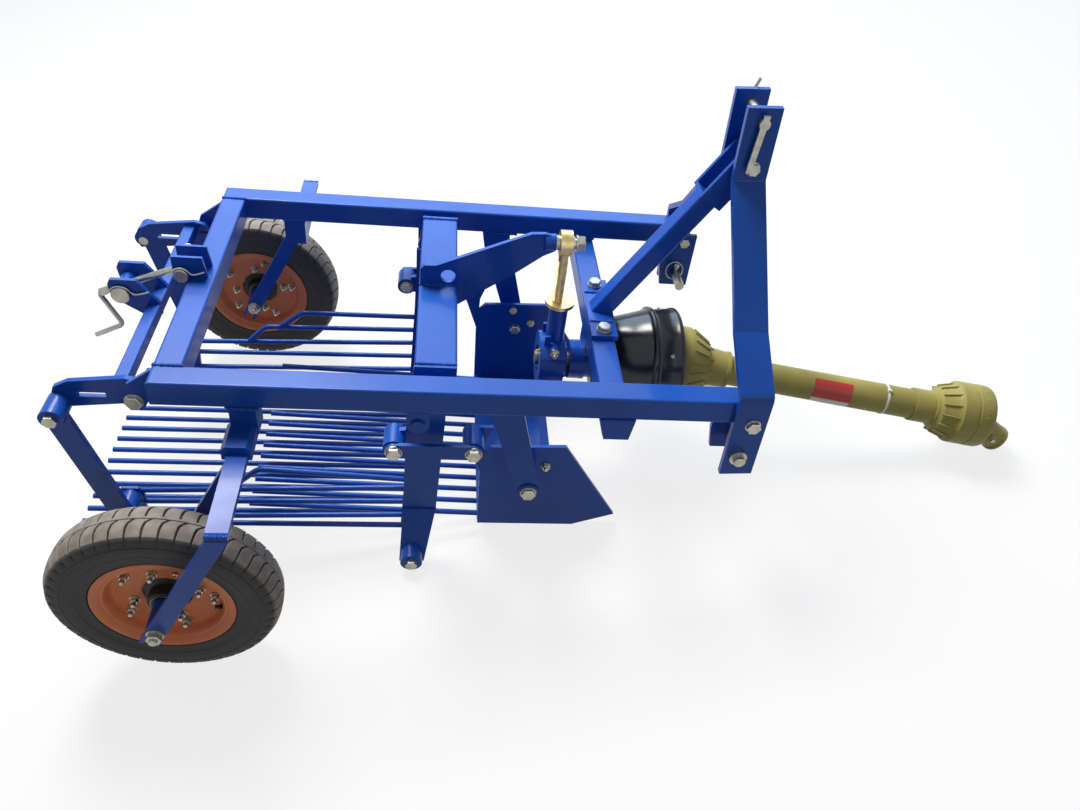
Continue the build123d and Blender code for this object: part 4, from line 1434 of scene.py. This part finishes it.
    def make_spindle_pins(self) -> None:
        """Set the disc, the arched wire, the shank and the ring clip of each spindle pin."""
        for pin in self.spindle_pins:
            x, y, z, radius = pin.x, pin.face, pin.z, pin.radius
            disc = solid_of([(0, radius), (8, radius), (8.8, radius - 1)], (x, y, z), (0, -1, 0), 36)
            clip = self.ring((x, -y + 5, z + 12), 13.0, 1.6)
            reach = radius + 3.0
            route = ((-1.7 * reach, -3), (-reach, 3), (-0.7 * reach, 0.75 * reach), (0, reach),
                     (0.7 * reach, 0.75 * reach), (reach, 4), (1.5 * reach, 1), (2.6 * reach, 9))
            arch = wire([(x + along, y - 4, z + rise) for along, rise in route], 1.8)
            shank = lathe([(0, 8.2), (0, 8.6), (9, 8.6), (9, SOLID)], (x, -y - 1, z), (0, 1, 0), 24)
            add_piece(f"spindle_pin_{pin.name}", joined([disc, clip, arch, shank]), Finish.ZINC, pin.body)

    def make_con_rod_details(self) -> None:
        """Set the clamp bolt, its bosses and the grease nipple on the con rod, and the rod's thread."""
        x, out, z = self.clamp_nut
        fastened("con_rod_nuts", self.each_side(self.clamp_nut), hex_head(17.0, 8.0, 11.0, 5.0), Finish.ZINC,
                 "con_rod")
        bosses = [ring_block(self.boss_from, out, 12.5, (x, 0, z), (0, side.value, 0), 32) for side in Side]
        add_piece("con_rod_bosses", joined(bosses), Finish.BLUE, "con_rod")
        nipple = solid_of([(0, 4), (5, 4), (6, 2.4), (9, 3.2), (12, 2.2)], self.nipple, (-0.8, -0.6, 0.2), 12)
        add_piece("grease_nipple", nipple, Finish.YELLOW_ZINC, "con_rod")
        turns = [lathe([(z, 9.6), (z + 0.9, 11.0), (z + 1.8, 9.6)], (self.rod_x, 0, 0), UP, 20)
                 for z in range(-26, 70, 4)]
        add_piece("rod_thread", joined(turns), Finish.YELLOW_ZINC, "con_rod")

    def make(self) -> None:
        """Set every fastener and clip."""
        self.make_frame_bolts()
        self.make_share_bolts()
        self.make_pivot_bolts()
        self.make_arm_bolt()
        self.make_collars()
        self.make_linchpins()
        self.make_spindle_pins()
        self.make_con_rod_details()


@dataclass
class Welds:
    """Painted weld beads where the frame's and the moving parts' members meet."""

    half_width: float = 340.0
    beam: float = 50.0
    beam_wall: float = 340.5
    bar_wall: float = 579.5

    def mirrored(self, *runs: tuple[Point, Point]) -> list[Seam]:
        """Return seams given for the left side on both sides of the machine, the right side's first."""
        return [Seam(*((x, side.value * y, z) for x, y, z in run)) for side in Side for run in runs]

    def frame_seams(self) -> list[Seam]:
        """List the seams of the frame body."""
        half, wall, under, inner = self.half_width, self.beam_wall, -self.beam, self.half_width - self.beam
        seams = self.mirrored(
            ((2, inner, 0), (self.beam, inner, 0)),
            ((796, inner, under), (846, inner, under)),
            ((796, inner, under), (796, half, under)),
            ((846, inner, under), (846, half, under)),
            ((790, wall, under), (848, wall, under)),
            ((128, wall, under), (176, wall, under)),
            ((133, self.bar_wall, -103), (165, self.bar_wall, -103)),
            ((1036, wall, 0), (1058, wall, 0)),
            ((598, 291, under), (662, 291, under)),
            ((434, 336.5, under), (474, 336.5, under)),
            ((1, 284, -6), (1, 284, -46)),
        )
        brace_foot = self.mirrored(((800, 52, -40), (846, 52, -40)))
        return seams + brace_foot + self.mirrored(((0, 17, 0), (18, 17, 0)))

    def rocker_seams(self) -> list[Seam]:
        """List the seams of the rocker."""
        arm = self.mirrored(((446, 4.5, -2), (520, 4.5, -2)))
        return arm + self.mirrored(((446, 257, -2), (520, 257, -2)), ((424, 268, -393), (493, 268, -393)))

    def lift_seams(self) -> list[Seam]:
        """List the seams of the lift frame."""
        return self.mirrored(((-85, 261, -61), (-62, 261, -61)), ((-86, 261, -62), (-86, 261, -84)),
                             ((-62, 26, -62), (-86, 26, -62)))

    def make(self) -> None:
        """Lay all the beads."""
        welded("welds_frame", self.frame_seams(), "frame")
        welded("welds_rocker", self.rocker_seams(), "rocker")
        welded("welds_lift", self.lift_seams(), "lift_frame", 3.2, 3.0)


# ---------------------------------------------------------------- stage


@dataclass(frozen=True)
class Lamp:
    """A soft square lamp: its place in metres, side in metres, power in watts and tint."""

    name: str
    place: Point
    size: float
    watts: float
    tint: str


def either(tree: Tree, first: Socket, second: Socket) -> Socket:
    """Return a socket that is 1 where either of two ray tests is."""
    return add_node(tree, "ShaderNodeMath", {"operation": "MAXIMUM"}, {0: first, 1: second}).outputs["Value"]


@dataclass
class Studio:
    """A pale floor, soft light from above and a camera from the machine's right."""

    lamps: tuple[Lamp, ...] = (
        Lamp("key", (-0.9, 1.8, 3.8), 1.5, 200.0, "fffaf2"),
        Lamp("sky", (0.0, 4.2, 3.6), 4.5, 210.0, "c8e0ff"),
        Lamp("fill", (1.4, -3.6, 2.2), 2.4, 14.0, "fff6ec"),
    )
    aim: Point = (0.0, 0.0, 0.3)
    floor_half: float = 14.0
    floor_glow: float = 0.8
    world_tint: str = "dfe6f2"
    world_level: float = 0.2
    focal_mm: float = 27.75
    sensor_mm: float = 36.0
    camera_place: Point = (479.7, -1430.3, 975.9)
    yaw: float = 9.884
    pitch: float = 41.944
    roll: float = 8.518

    def make_camera(self) -> None:
        """Set the camera in the machine's frame, so that it keeps its place over the parked machine."""
        yaw, pitch, roll = (math.radians(value) for value in (self.yaw, self.pitch, self.roll))
        ahead = Vector((math.sin(yaw) * math.cos(pitch), math.cos(yaw) * math.cos(pitch), -math.sin(pitch)))
        right = ahead.cross(Vector((0, 0, 1))).normalized()
        top = right.cross(ahead)
        rolled_right = right * math.cos(roll) + top * math.sin(roll)
        rolled_top = top * math.cos(roll) - right * math.sin(roll)
        axes = Matrix((rolled_right, rolled_top, -ahead)).transposed()
        turn = Matrix((MACHINE.forward, MACHINE.left, MACHINE.up)).transposed() @ axes
        data = bpy.data.cameras.new("camera")
        data.lens, data.sensor_width, data.sensor_fit = self.focal_mm, self.sensor_mm, "HORIZONTAL"
        data.clip_start, data.clip_end = 0.01, 100.0
        camera = in_scene("camera", data)
        camera.matrix_world = Matrix.Translation(MACHINE.at(*self.camera_place)) @ turn.to_4x4()
        bpy.context.scene.camera = camera

    def add_lamp(self, lamp: Lamp) -> None:
        """Add a lamp, aimed at the machine's middle."""
        data = bpy.data.lights.new(lamp.name, "AREA")
        data.size, data.energy = lamp.size, lamp.watts
        data.color = linear(lamp.tint)[:3]
        item = in_scene(lamp.name, data)
        item.location = lamp.place
        item.rotation_euler = (Vector(self.aim) - Vector(lamp.place)).to_track_quat("-Z", "Y").to_euler()

    def make_floor(self) -> None:
        """Lay a large pale floor that shows white to the camera and keeps the shadow."""
        half = self.floor_half
        corners = [(-half, -half, 0), (half, -half, 0), (half, half, 0), (-half, half, 0)]
        mesh = mesh_from(corners, [(0, 1, 2, 3)])
        material = bpy.data.materials.new("pale_floor")
        material.use_nodes = True
        tree = material.node_tree
        shader = tree.nodes["Principled BSDF"]
        shader.inputs["Roughness"].default_value = 0.9
        rays = add_node(tree, "ShaderNodeLightPath")
        tones = {"data_type": "RGBA", ("socket", 6): linear("8e8e8c"), ("socket", 7): linear("efefee")}
        tone = add_node(tree, "ShaderNodeMix", tones, {0: rays.outputs["Is Camera Ray"]})
        tree.links.new(tone.outputs[2], shader.inputs["Base Color"])
        seen = either(tree, rays.outputs["Is Camera Ray"], rays.outputs["Is Glossy Ray"])
        share = add_node(tree, "ShaderNodeMath", {"operation": "MULTIPLY", ("socket", 1): self.floor_glow},
                         {0: seen})
        glow = add_node(tree, "ShaderNodeEmission", {("socket", "Color"): linear("ffffff")})
        both = {1: shader.outputs["BSDF"], 2: glow.outputs["Emission"]}
        mix = add_node(tree, "ShaderNodeMixShader", {}, {"Fac": share.outputs["Value"], **both})
        tree.links.new(mix.outputs["Shader"], tree.nodes["Material Output"].inputs["Surface"])
        mesh.materials.append(material)
        in_scene("floor", mesh)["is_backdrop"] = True

    def make_world(self) -> None:
        """Light the scene softly from all round, and show white behind it."""
        world = bpy.data.worlds.new("studio")
        world.use_nodes = True
        bpy.context.scene.world = world
        tree = world.node_tree
        back = tree.nodes["Background"]
        back.inputs["Color"].default_value = linear(self.world_tint)
        rays = add_node(tree, "ShaderNodeLightPath")
        direct = either(tree, rays.outputs["Is Camera Ray"], rays.outputs["Is Transmission Ray"])
        seen = either(tree, direct, rays.outputs["Is Glossy Ray"])
        span = {("socket", "To Min"): self.world_level, ("socket", "To Max"): 1.0}
        level = add_node(tree, "ShaderNodeMapRange", span, {"Value": seen})
        tree.links.new(level.outputs["Result"], back.inputs["Strength"])

    def make(self) -> None:
        """Build the stage, the lamps and the camera."""
        scene = bpy.context.scene
        scene.view_settings.view_transform = "Standard"
        self.make_world()
        self.make_floor()
        for lamp in self.lamps:
            self.add_lamp(lamp)
        self.make_camera()


# ---------------------------------------------------------------- assembly


def dress_frame() -> None:
    """Give every CAD node the finish of its slot in the record, and the yoke a yellow enamel in place of its
    slot's.
    """
    slots = {entry["node"]: entry["material_slot"] for entry in frame["record"]["subparts"]}
    finishes = {finish.value: finish for finish in Finish}
    for name, node in frame["nodes"].items():
        finish = Finish.YOKE_YELLOW if name == "pto_yoke" else finishes[slots[name]]
        for slot in node.material_slots:
            slot.material = material_of(finish)


def main() -> None:
    """Build the scene in order: stage, dressed frame, wheels, shaft, guard, hardware and welds."""
    logging.basicConfig(level=logging.INFO, format="%(name)s: %(message)s")
    Studio().make()
    dress_frame()
    for side in Side:
        Wheel(side).make()
        WheelFork(side).make()
    DriveShaft().make()
    ShaftGuard().make()
    Hardware().make()
    Welds().make()
    for key, box in (("cad", CAD_BOX), ("visual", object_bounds())):
        LOG.info("%s box %s", key, box)


if __name__ == "__main__":
    main()
